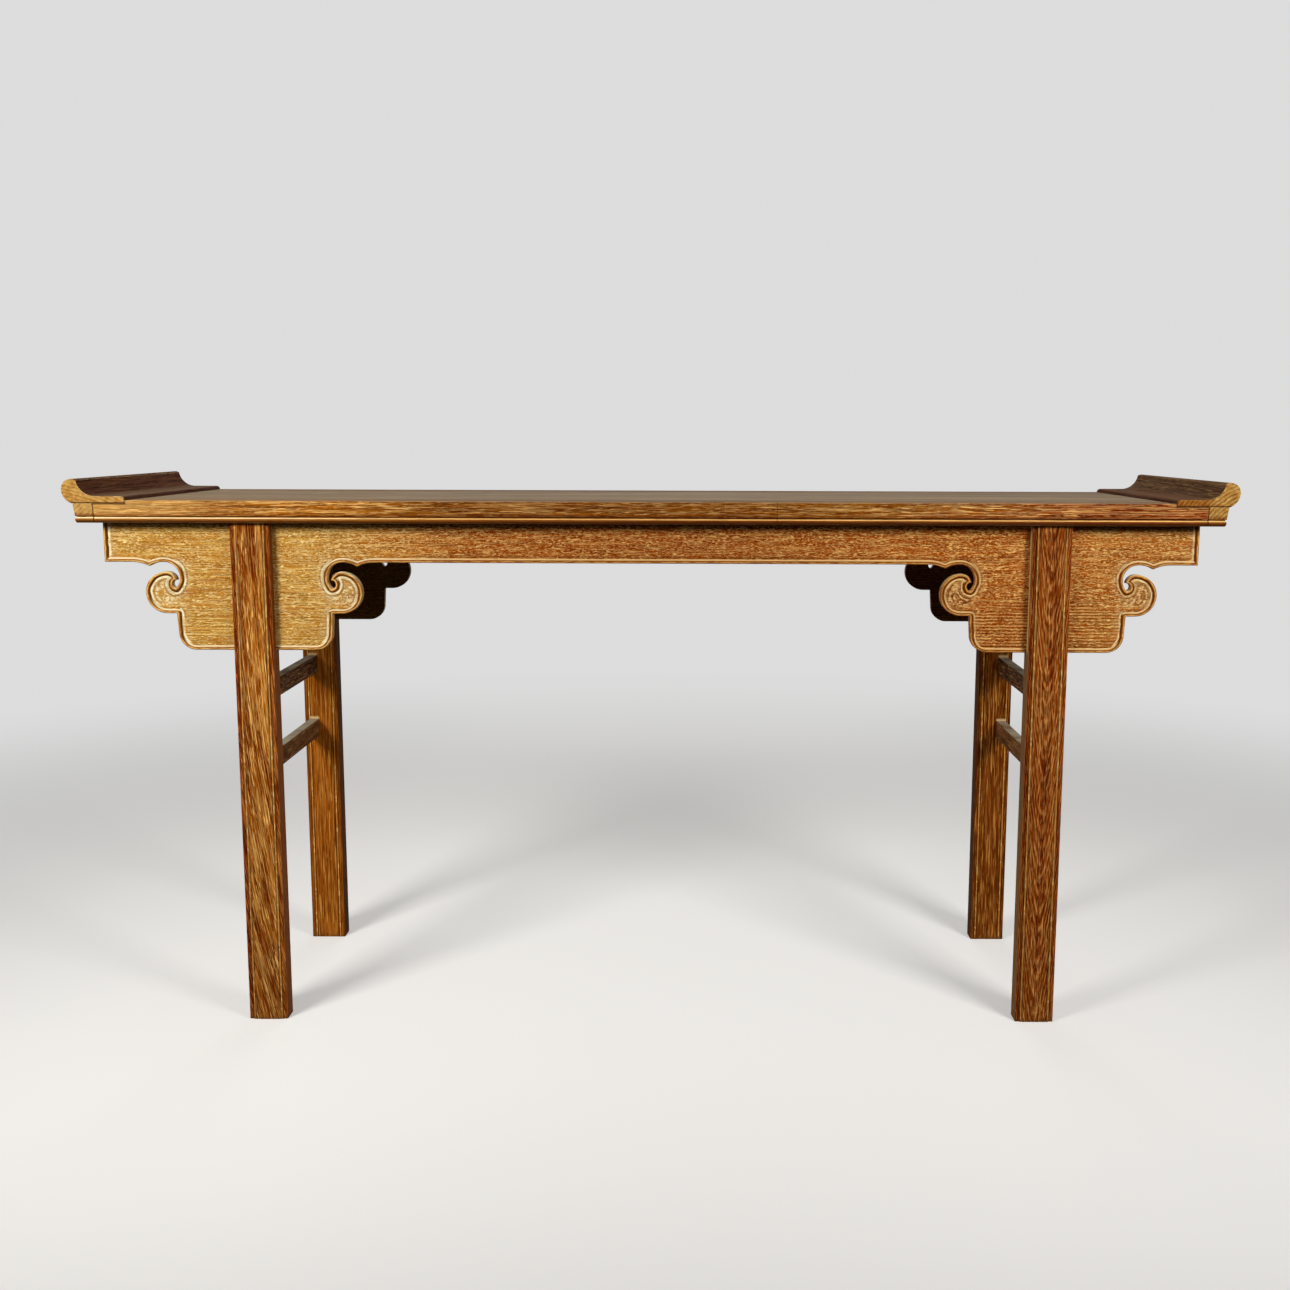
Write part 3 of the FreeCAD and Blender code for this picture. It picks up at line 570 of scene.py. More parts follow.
# Paler just below the top front arris: handling wear and a painted highlight.
top_arris_wear_and_highlight = stile.times(stile.fade(stile.z, SURFACE - 1.4 * MM, SURFACE - 0.7 * MM),
                      stile.fade(facing_up, 0.95, 0.7), stile.streaks(0.05, 0.02, 0.35, 0.6))
stile.lay(top_arris_wear_and_highlight, rgb(0.66, 0.46, 0.26), 0.35)
bead_highlight_and_shade(stile)
outward = stile.outward()
stile.lay(stile.fade(outward, SEAM - 1.3 * MM, SEAM - 0.6 * MM), DIRT_AND_SHADE, 0.8)
under_foot = stile.times(stile.fade(outward, FOOT_TIP - 1 * MM, FOOT_TIP),
                         stile.fade(stile.z, FOOT_SEAM - 1.2 * MM, FOOT_SEAM))
stile.lay(under_foot, DIRT_AND_SHADE, 0.7)
splice = stile.calc("ABSOLUTE", stile.calc("SUBTRACT", stile.x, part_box("front_stile_left")[1].x))
stile.lay(stile.fade(splice, 0.9 * MM, 0.4 * MM), DIRT_AND_SHADE, 0.6)
stile_wood = stile.close(bump=0.6 * MM, specular=0.04)

# %% Wood of the panel
panel_tones = (rgb(0.12, 0.065, 0.024), rgb(0.24, 0.145, 0.063), rgb(0.36, 0.235, 0.112),
               rgb(0.50, 0.36, 0.19))
panel = limed("panel_wood", ALONG_X, panel_tones, fleck=(0.12, 0.008), fine_fleck=(0.05, 0.004),
              cover=(0.55, 0.64), line=(0.5, 0.008), ring=(0.03, 0.01), broad=(0.7, 0.03), ring_share=0.35,
              line_share=0.45, pale_share=0.45, fine_share=0.35, shade_share=0.35, shift=(0.4, 0.0, 0.0))
panel.wear_and_highlight(rgb(0.38, 0.26, 0.14))
panel_wood = panel.close(bump=0.15 * MM, specular=0.05, roughness=(0.45, 0.6))

# %% [markdown]
# Wood that runs across the table shows its end grain at the front. There the growth rings appear as close
# curved lines round the tree's heart. On the right they run on from the rail into the flange, so these two
# were cut from one plank and share a heart; on the left each has its own.

# %% Wood across the ends
RIGHT_HEART = (0.0, -0.941, 0.769)
LEFT_RAIL_HEART = (0.0, 0.78, 0.71)
LEFT_FLANGE_HEART = (0.0, 0.955, 0.564)
END_RING = (5.6 * MM, 0.0, 2.2)
END_SWAYS = ((0.3, 0.02, 0.0022), (0.3, 0.006, 0.0007))
END_DARK = rgb(0.11, 0.033, 0.003)
end_tones = (END_DARK, rgb(0.43, 0.205, 0.042), rgb(0.58, 0.335, 0.088), rgb(0.76, 0.54, 0.22))


def end_grain(wood, heart, ring_share, bleach):
    """Golden ground, bleached or not, with growth rings on the two cut ends of a piece."""
    gold = wood.blend(wood.streaks(0.3, 0.007, 0.35, 0.65), end_tones[1], end_tones[2])
    ground = wood.blend(bleach, gold, end_tones[3])
    rings = wood.times(wood.rings(heart, *END_RING), wood.streaks(0.3, 0.012, 0.25, 0.55), ring_share)
    cut_end = wood.fade(wood.calc("ABSOLUTE", facing(wood.tree)[1]), 0.5, 0.9)
    wood.lay(cut_end, wood.blend(rings, ground, END_DARK))


def end_rail(name, heart, ring_share, bleach):
    """An end rail with end grain at the front, a bead like the stiles' and a dirty seam."""
    wood = limed(name, ALONG_Y, end_tones, fleck=(0.05, 0.0022), fine_fleck=(0.03, 0.0013),
                 cover=(0.58, 0.64), broad=(0.3, 0.012), line=(0.2, 0.003), ring=END_RING, heart=heart,
                 ring_share=ring_share, shade_share=0.3, line_share=0.4, sways=END_SWAYS)
    # Upper faces painted greyer: greyed wood and a painted reflection of the grey surroundings.
    wood.lay(wood.fade(facing(wood.tree)[2], 0.7, 0.95), GREYED_AND_REFLECTION, 0.7)
    end_grain(wood, heart, ring_share, bleach)
    wood.wear_and_highlight(RUBBED_AND_HIGHLIGHT)
    # The bead gets the same painted highlight and painted shade as on the stiles.
    bead_highlight_and_shade(wood)
    wood.lay(wood.fade(wood.outward(), SEAM + 1.4 * MM, SEAM + 0.6 * MM), DIRT_AND_SHADE, 0.85)
    return wood.close(bump=0.3 * MM, specular=0.04)


left_rail_wood = end_rail("left_end_rail_wood", LEFT_RAIL_HEART, 0.5, 0.15)
right_rail_wood = end_rail("right_end_rail_wood", RIGHT_HEART, 0.95, 0.0)

# %% Stiles, end rails and panel
TOP_EASE = 0.45 * MM
for name, node, wood in (("stile_front_left", "front_stile_left", stile_wood),
                         ("stile_front_right", "front_stile_right", stile_wood),
                         ("stile_rear", "rear_stile", stile_wood),
                         ("rail_left_end", "left_end_rail", left_rail_wood),
                         ("rail_right_end", "right_end_rail", right_rail_wood)):
    eased_piece(name, node, wood, "frame_wood", TOP_EASE)
for side in ("front", "rear"):
    eased_piece(f"panel_{side}", f"{side}_panel_board", panel_wood, "panel_wood", TOP_EASE)

# %% [markdown]
# ## Smooth outlines
# The frame's curves are short straight runs. Carved work needs true curves, so an outline is read from the
# solid and redrawn: between corners, each run becomes a Bezier arc whose handles follow the circle through
# its neighbours. Long runs stay straight.

# %% Directions of a smooth line
STRAIGHT = 12 * MM


def heading(points, spot):
    """The direction of a smooth line at one of its points."""
    before = points[spot] - points[spot - 1]
    after = points[spot + 1] - points[spot]
    if before.length > STRAIGHT:
        return before.normalized()
    if after.length > STRAIGHT:
        return after.normalized()
    return (before.normalized() * after.length + after.normalized() * before.length).normalized()


def end_heading(chord, inner):
    """The direction at the end of an arc, mirrored about its chord from the direction inside."""
    if chord.length > STRAIGHT:
        return chord.normalized()
    along = chord.normalized()
    return (2 * inner.dot(along) * along - inner).normalized()


print("runs over", round(STRAIGHT / MM), "mm stay straight")

# %% Redrawing an outline
CORNER = math.radians(33.0)
CURVE_STEP = 1.6 * MM
STRAIGHT_STEP = 6 * MM


def redrawn(points):
    """One run between corners, redrawn as fine steps; its last point is left to the next run."""
    count = len(points)
    if count == 2:
        headings = [(points[1] - points[0]).normalized()] * 2
    else:
        headings = [None] + [heading(points, spot) for spot in range(1, count - 1)] + [None]
        headings[0] = end_heading(points[1] - points[0], headings[1])
        headings[-1] = end_heading(points[-1] - points[-2], headings[-2])
    drawn = []
    for spot in range(count - 1):
        near, far = points[spot], points[spot + 1]
        reach = (far - near).length
        steps = max(1, math.ceil(reach / (STRAIGHT_STEP if reach > STRAIGHT else CURVE_STEP)))
        drawn += geometry.interpolate_bezier(near, near + headings[spot] * reach / 3,
                                             far - headings[spot + 1] * reach / 3, far, steps + 1)[:-1]
    return drawn


def corners_of(points):
    """The places of the corners of an open line, its two ends among them."""
    found = [0]
    for spot in range(1, len(points) - 1):
        before = points[spot] - points[spot - 1]
        if abs(before.angle_signed(points[spot + 1] - points[spot])) > CORNER:
            found.append(spot)
    return found + [len(points) - 1]


def smooth_line(points):
    """An open line redrawn between its corners, and the places of its corners in the new line."""
    drawn, marks = [], []
    stops = corners_of(points)
    for first, last in zip(stops, stops[1:]):
        marks.append(len(drawn))
        drawn += redrawn(points[first:last + 1])
    marks.append(len(drawn))
    return drawn + [points[-1]], marks


print("corner angle:", round(math.degrees(CORNER)), "degrees")

# %% [markdown]
# A mesh keeps its edges in no order. To read an outline, its edges are first noted as neighbours, and then
# followed from point to point.

# %% Reading an outline


def walk(links, start):
    """The points of a chain of edges, from one of its ends or once round a loop."""
    line, last, here = [start], None, start
    while True:
        onward = [vert for vert in links[here] if vert is not last]
        if not onward or onward[0] is start:
            return line
        last, here = here, onward[0]
        line.append(here)


def chain(edges):
    """Which points each point of a chain of edges is joined to."""
    links = {}
    for edge in edges:
        for vert in edge.verts:
            links.setdefault(vert, []).append(edge.other_vert(vert))
    return links


print("outlines can be read")

# %% [markdown]
# ## Flanges
# A flange is one rule from end to end: a section with a foot, a hollow and a rolled ridge, run across the
# table. Geometry Nodes suit that: the section is a curve, and Curve to Mesh sweeps it along a straight line
# of the right length and closes both ends.

# %% Wood of the flanges
TOE = (872 * MM, 852 * MM)
FOOT_LINE = 840.4 * MM
left_flange_tones = (rgb(0.034, 0.009, 0.003), rgb(0.108, 0.030, 0.0085), rgb(0.154, 0.047, 0.013),
                     rgb(0.28, 0.12, 0.05))
right_flange_tones = (rgb(0.050, 0.019, 0.006), rgb(0.170, 0.072, 0.023), rgb(0.235, 0.106, 0.038),
                      rgb(0.40, 0.23, 0.10))


def flange_finish(name, tones, heart, ring_share, rim):
    """Dark slopes with a lighter foot, and golden end grain on the two cut ends."""
    wood = limed(name, ALONG_Y, tones, fleck=(0.07, 0.0025), fine_fleck=(0.03, 0.0015), cover=(0.57, 0.66),
                 line=(0.16, 0.003), shade_share=0.5, sways=END_SWAYS)
    wood.lay(wood.fade(facing(wood.tree)[2], 0.9, 1.0), rgb(0.20, 0.12, 0.06), 0.6)
    end_grain(wood, heart, ring_share, 0.0)
    right_toe = wood.times(wood.fade(wood.x, *TOE), wood.fade(wood.x, 0.0, 0.1))
    wood.tint(right_toe, rgb(0.74, 0.52, 0.34))
    # The worn rim, palest on the left flange, also serves as a painted highlight.
    wood.wear_and_highlight(rim)
    wood.lay(wood.fade(wood.z, FOOT_LINE + 1.6 * MM, FOOT_LINE), DIRT_AND_SHADE, 0.85)
    # Painted shade at the overhanging tip of the foot.
    wood.lay(wood.fade(wood.outward(), FOOT_TIP + 2.6 * MM, FOOT_TIP + 1.2 * MM), DIRT_AND_SHADE, 0.7)
    return wood.close(bump=0.3 * MM, specular=0.02, roughness=(0.55, 0.75))


left_flange_wood = flange_finish("left_flange_wood", left_flange_tones, LEFT_FLANGE_HEART, 0.65,
                                 rgb(0.85, 0.66, 0.36))
right_flange_wood = flange_finish("right_flange_wood", right_flange_tones, RIGHT_HEART, 1.0,
                                  rgb(0.5, 0.30, 0.10))

# %% Helpers for Geometry Nodes
GEOMETRY = "NodeSocketGeometry"
MATERIAL = "NodeSocketMaterial"


def geometry_tree(name, output, **inputs):
    """An empty Geometry Nodes tree, its inputs, and the keys by which a modifier sets them."""
    tree = bpy.data.node_groups.new(name, "GeometryNodeTree")
    keys = {label: tree.interface.new_socket(label, in_out="INPUT", socket_type=kind).identifier
            for label, kind in inputs.items()}
    tree.interface.new_socket(output, in_out="OUTPUT", socket_type=GEOMETRY)
    return tree, tree.nodes.new("NodeGroupInput").outputs, keys


def close_tree(tree, made, wood):
    """Makes copies real, gives them their wood and ends the tree."""
    real = add(tree, "GeometryNodeRealizeInstances", {0: made})
    dressed = add(tree, "GeometryNodeSetMaterial", {"Geometry": real.outputs[0], "Material": wood})
    tree.links.new(dressed.outputs[0], tree.nodes.new("NodeGroupOutput").inputs[0])
    print("tree:", tree.name, [item.name for item in tree.interface.items_tree])


def grown(data, tree, keys, **values):
    """The mesh that a tree makes of a curve or a mesh."""
    carrier = carrier_of(data)
    run = carrier.modifiers.new(tree.name, "NODES")
    run.node_group = tree
    for label, value in values.items():
        run[keys[label]] = value
    return baked(carrier)


print("tree helpers ready")

# %% Sweep tree
sweep, inlet, sweep_keys = geometry_tree("flange_sweep", "Flange", Section=GEOMETRY, Length=FLOAT,
                                         Wood=MATERIAL)
front_end, rear_end = (
    add(sweep, "ShaderNodeCombineXYZ", {1: calc(sweep, "MULTIPLY", inlet["Length"], share)}).outputs[0]
    for share in (-0.5, 0.5))
rail_line = add(sweep, "GeometryNodeCurvePrimitiveLine", {"Start": front_end, "End": rear_end})
swept = add(sweep, "GeometryNodeCurveToMesh", {
    "Curve": rail_line.outputs[0], "Profile Curve": inlet["Section"], "Fill Caps": True})
close_tree(sweep, swept.outputs[0], inlet["Wood"])

# %% Flanges
FLANGE_EASE = 0.6 * MM
LOW_FIRST = 100


def section_of(node):
    """A flange's section, seen from the front and redrawn with smooth curves."""
    form = joined_form(node)
    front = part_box(node)[0].y
    rim = [edge for edge in form.edges if all(abs(vert.co.y - front) < MERGE for vert in edge.verts)
           and any(face.normal.y > -0.5 for face in edge.link_faces)]
    links = chain(rim)
    start = max(links, key=lambda vert: abs(vert.co.x) - LOW_FIRST * vert.co.z)
    loop = [Vector((vert.co.x, vert.co.z)) for vert in walk(links, start)]
    form.free()
    return smooth_line(loop + loop[:1])[0][:-1]


def swept_flange(name, node, material):
    """A flange swept from its section, with eased ends."""
    section = section_of(node)
    drawing = bpy.data.curves.new(name, "CURVE")
    drawing.dimensions = "3D"
    spline = drawing.splines.new("POLY")
    spline.points.add(len(section) - 1)
    spline.use_cyclic_u = True
    for knot, spot in zip(spline.points, section):
        knot.co = (spot.x, -spot.y, 0.0, 1.0)
    low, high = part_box(node)
    form = bmesh.new()
    form.from_mesh(grown(drawing, sweep, sweep_keys, Length=high.y - low.y, Wood=material))
    bmesh.ops.recalc_face_normals(form, faces=form.faces)
    ease(form, FLANGE_EASE)
    finished(name, mesh_of(name, form), material, "flange_wood", node)


swept_flange("flange_left", "left_flange", left_flange_wood)
swept_flange("flange_right", "right_flange", right_flange_wood)

# %% [markdown]
# ## Legs and stretchers
# Each leg is moulded along its face: a raised band with a thread at either side, and a lower strip beyond.
# The frame's solid has the moulding, so the wood only follows it: strips, grooves and threads are masks by
# the distance from the leg's middle line. The threads get a painted highlight and the grooves painted shade.
# The left leg was cut where the grain leans towards the foot.

# %% Legs as they are moulded
LEG_PLACE = (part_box("front_right_leg")[0].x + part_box("front_right_leg")[1].x) / 2
LEG_SIDE = 30.3 * MM
BAND_HALF = 23.55 * MM
GROOVE = 1.2 * MM
THREAD_START = BAND_HALF - 3.0 * MM
SCUFF_SCALE = (90.0, 90.0, 280.0)


def moulded(leg, left_strip, right_strip, side_light_and_shade):
    """Gives a leg its darker strips, a painted highlight on the thread along the band, painted shade in the
    groove beside it and at the band's step, a painted tone on the inner side face, scuffs and a darker foot.
    """
    aside = leg.calc("SUBTRACT", leg.outward(), LEG_PLACE)
    off = leg.calc("ABSOLUTE", aside)
    strip = leg.fade(off, BAND_HALF - 0.3 * MM, BAND_HALF + 0.3 * MM)
    right_side = leg.calc("GREATER_THAN", leg.calc("MULTIPLY", aside, leg.x), 0.0)
    leg.tint(leg.times(strip, right_side), right_strip)
    leg.tint(leg.times(strip, leg.calc("SUBTRACT", 1.0, right_side)), left_strip)
    # Painted shade in the groove beside the thread.
    groove = leg.band(off, THREAD_START - GROOVE - 0.6 * MM, THREAD_START - GROOVE + 0.2 * MM,
                      THREAD_START - 0.3 * MM, THREAD_START + 0.3 * MM)
    leg.lay(groove, DIRT_AND_SHADE, 0.95)
    # Painted highlight on the thread.
    thread = leg.band(off, THREAD_START + 0.2 * MM, THREAD_START + 1.0 * MM, BAND_HALF - 0.9 * MM, BAND_HALF)
    leg.lay(thread, rgb(0.60, 0.25, 0.045), 0.7)
    leg.lay(leg.times(thread, leg.streaks(0.010, 0.004, 0.54, 0.62)), rgb(0.94, 0.60, 0.22), 0.6)
    # Painted shadow at the step down from the band to the strip.
    step = leg.band(off, BAND_HALF - 0.4 * MM, BAND_HALF, BAND_HALF + 0.6 * MM, BAND_HALF + 1.3 * MM)
    leg.lay(step, DIRT_AND_SHADE, 0.7)
    # The inner side face gets a flat painted tone for its light: painted shade, deepest on the rear legs, and
    # a lighter tone on the right leg.
    side = leg.fade(off, LEG_SIDE, LEG_SIDE + 0.3 * MM)
    leg.lay(leg.times(side, leg.calc("LESS_THAN", aside, 0.0)), side_light_and_shade, 0.75)
    flattened = add(leg.tree, "ShaderNodeMapping", {"Vector": leg.object, "Scale": SCUFF_SCALE}).outputs[0]
    scuffs = leg.fade(noise(leg.tree, flattened, 1.0, 1.0), 0.66, 0.70)
    leg.lay(leg.times(scuffs, leg.fade(leg.z, 60 * MM, 15 * MM)), DIRT_AND_SHADE, 0.8)
    leg.lay(leg.fade(leg.z, 8 * MM, 0.0), rgb(0.12, 0.05, 0.012), 0.6)


print("legs stand", round(LEG_PLACE / MM), "mm from the middle")

# %% Wood of the left leg
LEFT_LEAN = (0.13, 0.86)
golden_tones = (rgb(0.09, 0.013, 0.001), rgb(0.27, 0.054, 0.001), rgb(0.38, 0.106, 0.005),
                rgb(0.94, 0.53, 0.14))
left_leg = limed("left_leg_wood", ALONG_Z, golden_tones, fleck=(0.036, 0.0014),
                 fine_fleck=(0.020, 0.0010), cover=(0.59, 0.63), patch=(0.06, 0.010, 0.34, 0.54),
                 line=(0.18, 0.0018), ring=(0.0050, 0.0), heart=(0.0, -0.15, 0.3), broad=(0.12, 0.012),
                 ring_share=0.55, line_share=0.85, pale_share=0.85, fine_share=0.4, shade_share=0.4,
                 long_fleck=(0.08, 0.0018), long_share=0.4,
                 sways=((0.25, 0.03, 0.004), (0.05, 0.008, 0.0010)), lean=LEFT_LEAN)
left_leg.tint(left_leg.streaks(0.16, 0.009, 0.54, 0.64, 1.0), rgb(0.60, 0.42, 0.32), 0.85)
glints = left_leg.times(left_leg.streaks(0.11, 0.012, 0.55, 0.66, 1.0),
                        left_leg.streaks(0.03, 0.0024, 0.40, 0.56))
left_leg.lay(glints, golden_tones[3], 0.28)
moulded(left_leg, rgb(0.60, 0.36, 0.28), rgb(0.72, 0.52, 0.42), rgb(0.24, 0.066, 0.010))
left_leg.wear_and_highlight(rgb(0.62, 0.33, 0.09))
left_leg_wood = left_leg.close(bump=0.5 * MM, specular=0.02, roughness=(0.55, 0.75))

# %% [markdown]
# The right leg is redder. Its face lies close to the tree's heart and the trunk tapers, so the rings come
# out of the face as long points, one above the other. Lime has run out of the joint at the foot of the
# apron, on the leg's inner side, and a short crack opens at the top.

# %% Wood of the right leg
RIGHT_LEG_HEART = (0.0, -0.195, -LEG_PLACE)
RIGHT_LEG_RING = (2.8 * MM, -0.10)
APRON_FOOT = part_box("front_apron")[0].z
JOINT_DEPTHS = (-207 * MM, -199 * MM, -195 * MM, -194 * MM)
CRACK = [LEG_PLACE + aside * MM for aside in (19.0, 20.0, 21.5, 22.5)]
CRACK_FOOT = 778 * MM
red_tones = (rgb(0.050, 0.007, 0.0005), rgb(0.235, 0.040, 0.001), rgb(0.30, 0.060, 0.002),
             rgb(0.90, 0.44, 0.12))
right_leg = limed("right_leg_wood", ALONG_Z, red_tones, fleck=(0.036, 0.0013), fine_fleck=(0.018, 0.0010),
                  cover=(0.62, 0.66), patch=(0.08, 0.010, 0.32, 0.55), line=(0.16, 0.0016),
                  ring=RIGHT_LEG_RING, heart=RIGHT_LEG_HEART, broad=(0.15, 0.010), ring_share=0.85,
                  line_share=0.5, pale_share=0.65, fine_share=0.35, shade_share=0.3,
                  long_fleck=(0.09, 0.0015), long_share=0.3,
                  sways=((0.12, 0.03, 0.0018), (0.04, 0.008, 0.0006)))
between = right_leg.rings(RIGHT_LEG_HEART, *RIGHT_LEG_RING, 1.0)
points = right_leg.times(right_leg.band(between, 0.15, 0.3, 0.45, 0.6),
                         right_leg.streaks(0.03, 0.0022, 0.44, 0.56, 1.0))
right_leg.lay(points, red_tones[3], 0.38)
right_leg.tint(right_leg.streaks(0.14, 0.008, 0.53, 0.64, 1.0), rgb(0.66, 0.50, 0.42), 0.7)
moulded(right_leg, rgb(0.66, 0.48, 0.34), rgb(0.84, 0.70, 0.60), rgb(0.28, 0.140, 0.040))
joint_lime = right_leg.times(
    right_leg.fade(right_leg.x, LEG_PLACE - LEG_SIDE, LEG_PLACE - LEG_SIDE - 0.3 * MM),
    right_leg.band(right_leg.y, *JOINT_DEPTHS),
    right_leg.fade(right_leg.z, APRON_FOOT - 4 * MM, APRON_FOOT + 4 * MM))
right_leg.lay(joint_lime, rgb(1.0, 0.68, 0.27), 0.95)
crack = right_leg.times(right_leg.band(right_leg.x, *CRACK),
                        right_leg.fade(right_leg.z, CRACK_FOOT, CRACK_FOOT + 8 * MM))
right_leg.lay(crack, DIRT_AND_SHADE, 0.85)
right_leg.wear_and_highlight(rgb(0.55, 0.27, 0.07))
right_leg_wood = right_leg.close(bump=0.5 * MM, specular=0.02, roughness=(0.55, 0.75))

# %% [markdown]
# The rear legs stand in the shade, so their wood is plainer. Lime has run out of the joints above the
# stretchers. Each stretcher's own box says where its joint is.

# %% Wood of the rear legs
LEG_INNER = 179 * MM
rear_tones = (rgb(0.13, 0.028, 0.001), rgb(0.35, 0.090, 0.006), rgb(0.44, 0.130, 0.011),
              rgb(0.62, 0.28, 0.05))


def right_end(wood):
    """A mask of the table's right half, with a hard edge."""
    return wood.calc("GREATER_THAN", wood.x, 0.0)


rear_leg = limed("rear_leg_wood", ALONG_Z, rear_tones, fleck=(0.06, 0.0022), fine_fleck=(0.03, 0.0012),
                 cover=(0.58, 0.66), ring=(0.007, 0.03), heart=(0.0, 0.3, -0.4), broad=(0.2, 0.02),
                 tints=((right_end, rgb(0.55, 0.47, 0.66)),), shift=(0.7, 0.0, 0.0))
moulded(rear_leg, rgb(0.7, 0.6, 0.5), rgb(0.7, 0.6, 0.5), rgb(0.045, 0.022, 0.010))
outward = rear_leg.outward()
inner_face = rear_leg.fade(rear_leg.y, LEG_INNER + 2 * MM, LEG_INNER)
for level in ("upper", "lower"):
    low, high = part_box(f"right_{level}_stretcher")
    over = rear_leg.band(rear_leg.z, high.z - 1 * MM, high.z, high.z + 2 * MM, high.z + 6 * MM)
    beside = rear_leg.band(outward, low.x - 2 * MM, low.x + 2 * MM, high.x - 2 * MM, high.x + 2 * MM)
    rear_leg.lay(rear_leg.times(over, inner_face, beside), rgb(0.74, 0.54, 0.25), 0.75)
rear_leg.wear_and_highlight(rgb(0.45, 0.2, 0.04))
rear_leg_wood = rear_leg.close(bump=0.3 * MM, specular=0.01, roughness=(0.6, 0.8))

# %% [markdown]
# Nobody wipes the stretchers, so dust lies on top of them. The lower pair is the lighter one.

# %% Wood of the stretchers
stretcher_tones = (rgb(0.055, 0.020, 0.005), rgb(0.165, 0.057, 0.015), rgb(0.24, 0.090, 0.027),
                   rgb(0.42, 0.21, 0.08))


def upper_pair(wood):
    """A mask of the two upper stretchers."""
    return wood.fade(wood.z, 0.45, 0.48)


stretcher = limed("stretcher_wood", ALONG_Y, stretcher_tones, fleck=(0.04, 0.0022), fine_fleck=(0.02, 0.0015),
                  cover=(0.57, 0.66), tints=((upper_pair, rgb(0.43, 0.47, 0.62)),))
dust = place(stretcher.tree, dust_group, {"Vector": stretcher.object, "Amount": 0.9})["Mask"]
stretcher.lay(dust, rgb(0.42, 0.37, 0.27))
stretcher.wear_and_highlight(rgb(0.25, 0.15, 0.07))
stretcher_wood = stretcher.close(bump=0.2 * MM, specular=0.01, roughness=(0.6, 0.8))

# %% Legs and stretchers
LEG_EASE = 0.4 * MM
STRETCHER_EASE = 1.0 * MM
ENDS = ("left", "right")
for row, woods in (("front", (left_leg_wood, right_leg_wood)), ("rear", (rear_leg_wood, rear_leg_wood))):
    for end, wood in zip(ENDS, woods):
        eased_piece(f"leg_{row}_{end}", f"{row}_{end}_leg", wood, "leg_wood", LEG_EASE)
for end in ENDS:
    for level in ("upper", "lower"):
        eased_piece(f"stretcher_{end}_{level}", f"{end}_{level}_stretcher", stretcher_wood, "stretcher_wood",
                    STRETCHER_EASE)

# %% [markdown]
# ## Aprons
# Both long aprons are single boards with four half cloud heads, the pride of this table. The left end is
# pale and golden and the rest is redder, with lime in the open pores. The field is close short flecks.

# %% Wood of the aprons
APRON_HEART = (0.0, 0.3, -0.5)
apron_tones = (rgb(0.27, 0.074, 0.002), rgb(0.51, 0.210, 0.014), rgb(0.61, 0.305, 0.034),
               rgb(1.00, 0.76, 0.31))


def redder_share(wood):
    """A mask of the redder wood: all but the left end, and less at the right tip."""
    return wood.times(wood.fade(wood.x, -0.56, -0.24), wood.fade(wood.x, 0.62, 0.75, 1.0, 0.72))


apron = limed("apron_wood", ALONG_X, apron_tones, fleck=(0.0062, 0.0013), fine_fleck=(0.0040, 0.0010),
              cover=(0.57, 0.60), patch=(0.03, 0.012, 0.2, 0.5), line=(0.12, 0.0016), ring=(0.0040, 0.004),
              heart=APRON_HEART, ring_share=0.5, pale_share=0.8, fine_share=0.45, line_share=0.6,
              shade_share=0.4, long_fleck=(0.04, 0.0016), long_share=0.4, broad=(0.10, 0.03),
              tints=((redder_share, rgb(0.72, 0.38, 0.16)),),
              sways=((0.25, 0.04, 0.002), (0.02, 0.007, 0.0007)))
redder = redder_share(apron)
apron.tint(redder, rgb(0.97, 0.75, 0.54))
apron.tint(apron.band(apron.x, -0.46, -0.20, 0.12, 0.40), rgb(0.86, 0.83, 0.83))
golden = apron.fade(redder, 0.0, 1.0, 1.0, 0.0)
apron.lay(apron.times(apron.streaks(0.07, 0.008, 0.54, 0.66), golden), rgb(0.46, 0.165, 0.018), 0.5)
apron.tell()

# %% [markdown]
# The lower spandrels show dark ripples where the rings run out of the face, with orange wood between them.
# The mesh carries how near a place is to a scroll's eye, and the ripples stop there. Painted shadow darkens
# the apron under the top, deeper at the right.

# %% Ripples and painted shadow under the top
APRON_TOP = 808 * MM
rippled = apron.fade(apron.z, 0.72, 0.67)
wave = apron.rings(APRON_HEART, 0.0046, 0.002, 1.0)
scroll = apron.attribute("scroll")
field = apron.fade(scroll, 0.0, 0.6, 1.0, 0.0)
ripple = apron.times(apron.fade(wave, 0.55, 0.85), rippled, apron.fade(redder, 0.0, 0.6, 0.4, 1.0), field)
apron.lay(ripple, apron.blend(redder, rgb(0.33, 0.12, 0.008), rgb(0.18, 0.036, 0.001)), 0.85)
between = apron.times(apron.band(wave, 0.1, 0.25, 0.4, 0.55), rippled, redder, field,
                      apron.streaks(0.04, 0.0022, 0.42, 0.56, 1.0))
apron.lay(between, rgb(0.90, 0.48, 0.155), 0.36)
# Painted shadow under the overhanging top.
apron.lay(apron.fade(apron.z, APRON_TOP - 5 * MM, APRON_TOP), DIRT_AND_SHADE, 0.75)
# A deeper painted shadow under the top at the right end.
right_shadow_under_top = apron.times(apron.fade(apron.z, APRON_TOP - 14 * MM, APRON_TOP - 2 * MM),
                         apron.fade(apron.x, 0.55, 0.74))
apron.lay(right_shadow_under_top, DIRT_AND_SHADE, 0.65)
apron.tell()

# %% [markdown]
# Old lime sits in the hollow along the bead. How much there is depends on the distance to the cut edge,
# which the board's mesh carries as an attribute, and on a noise that makes the deposit ragged.

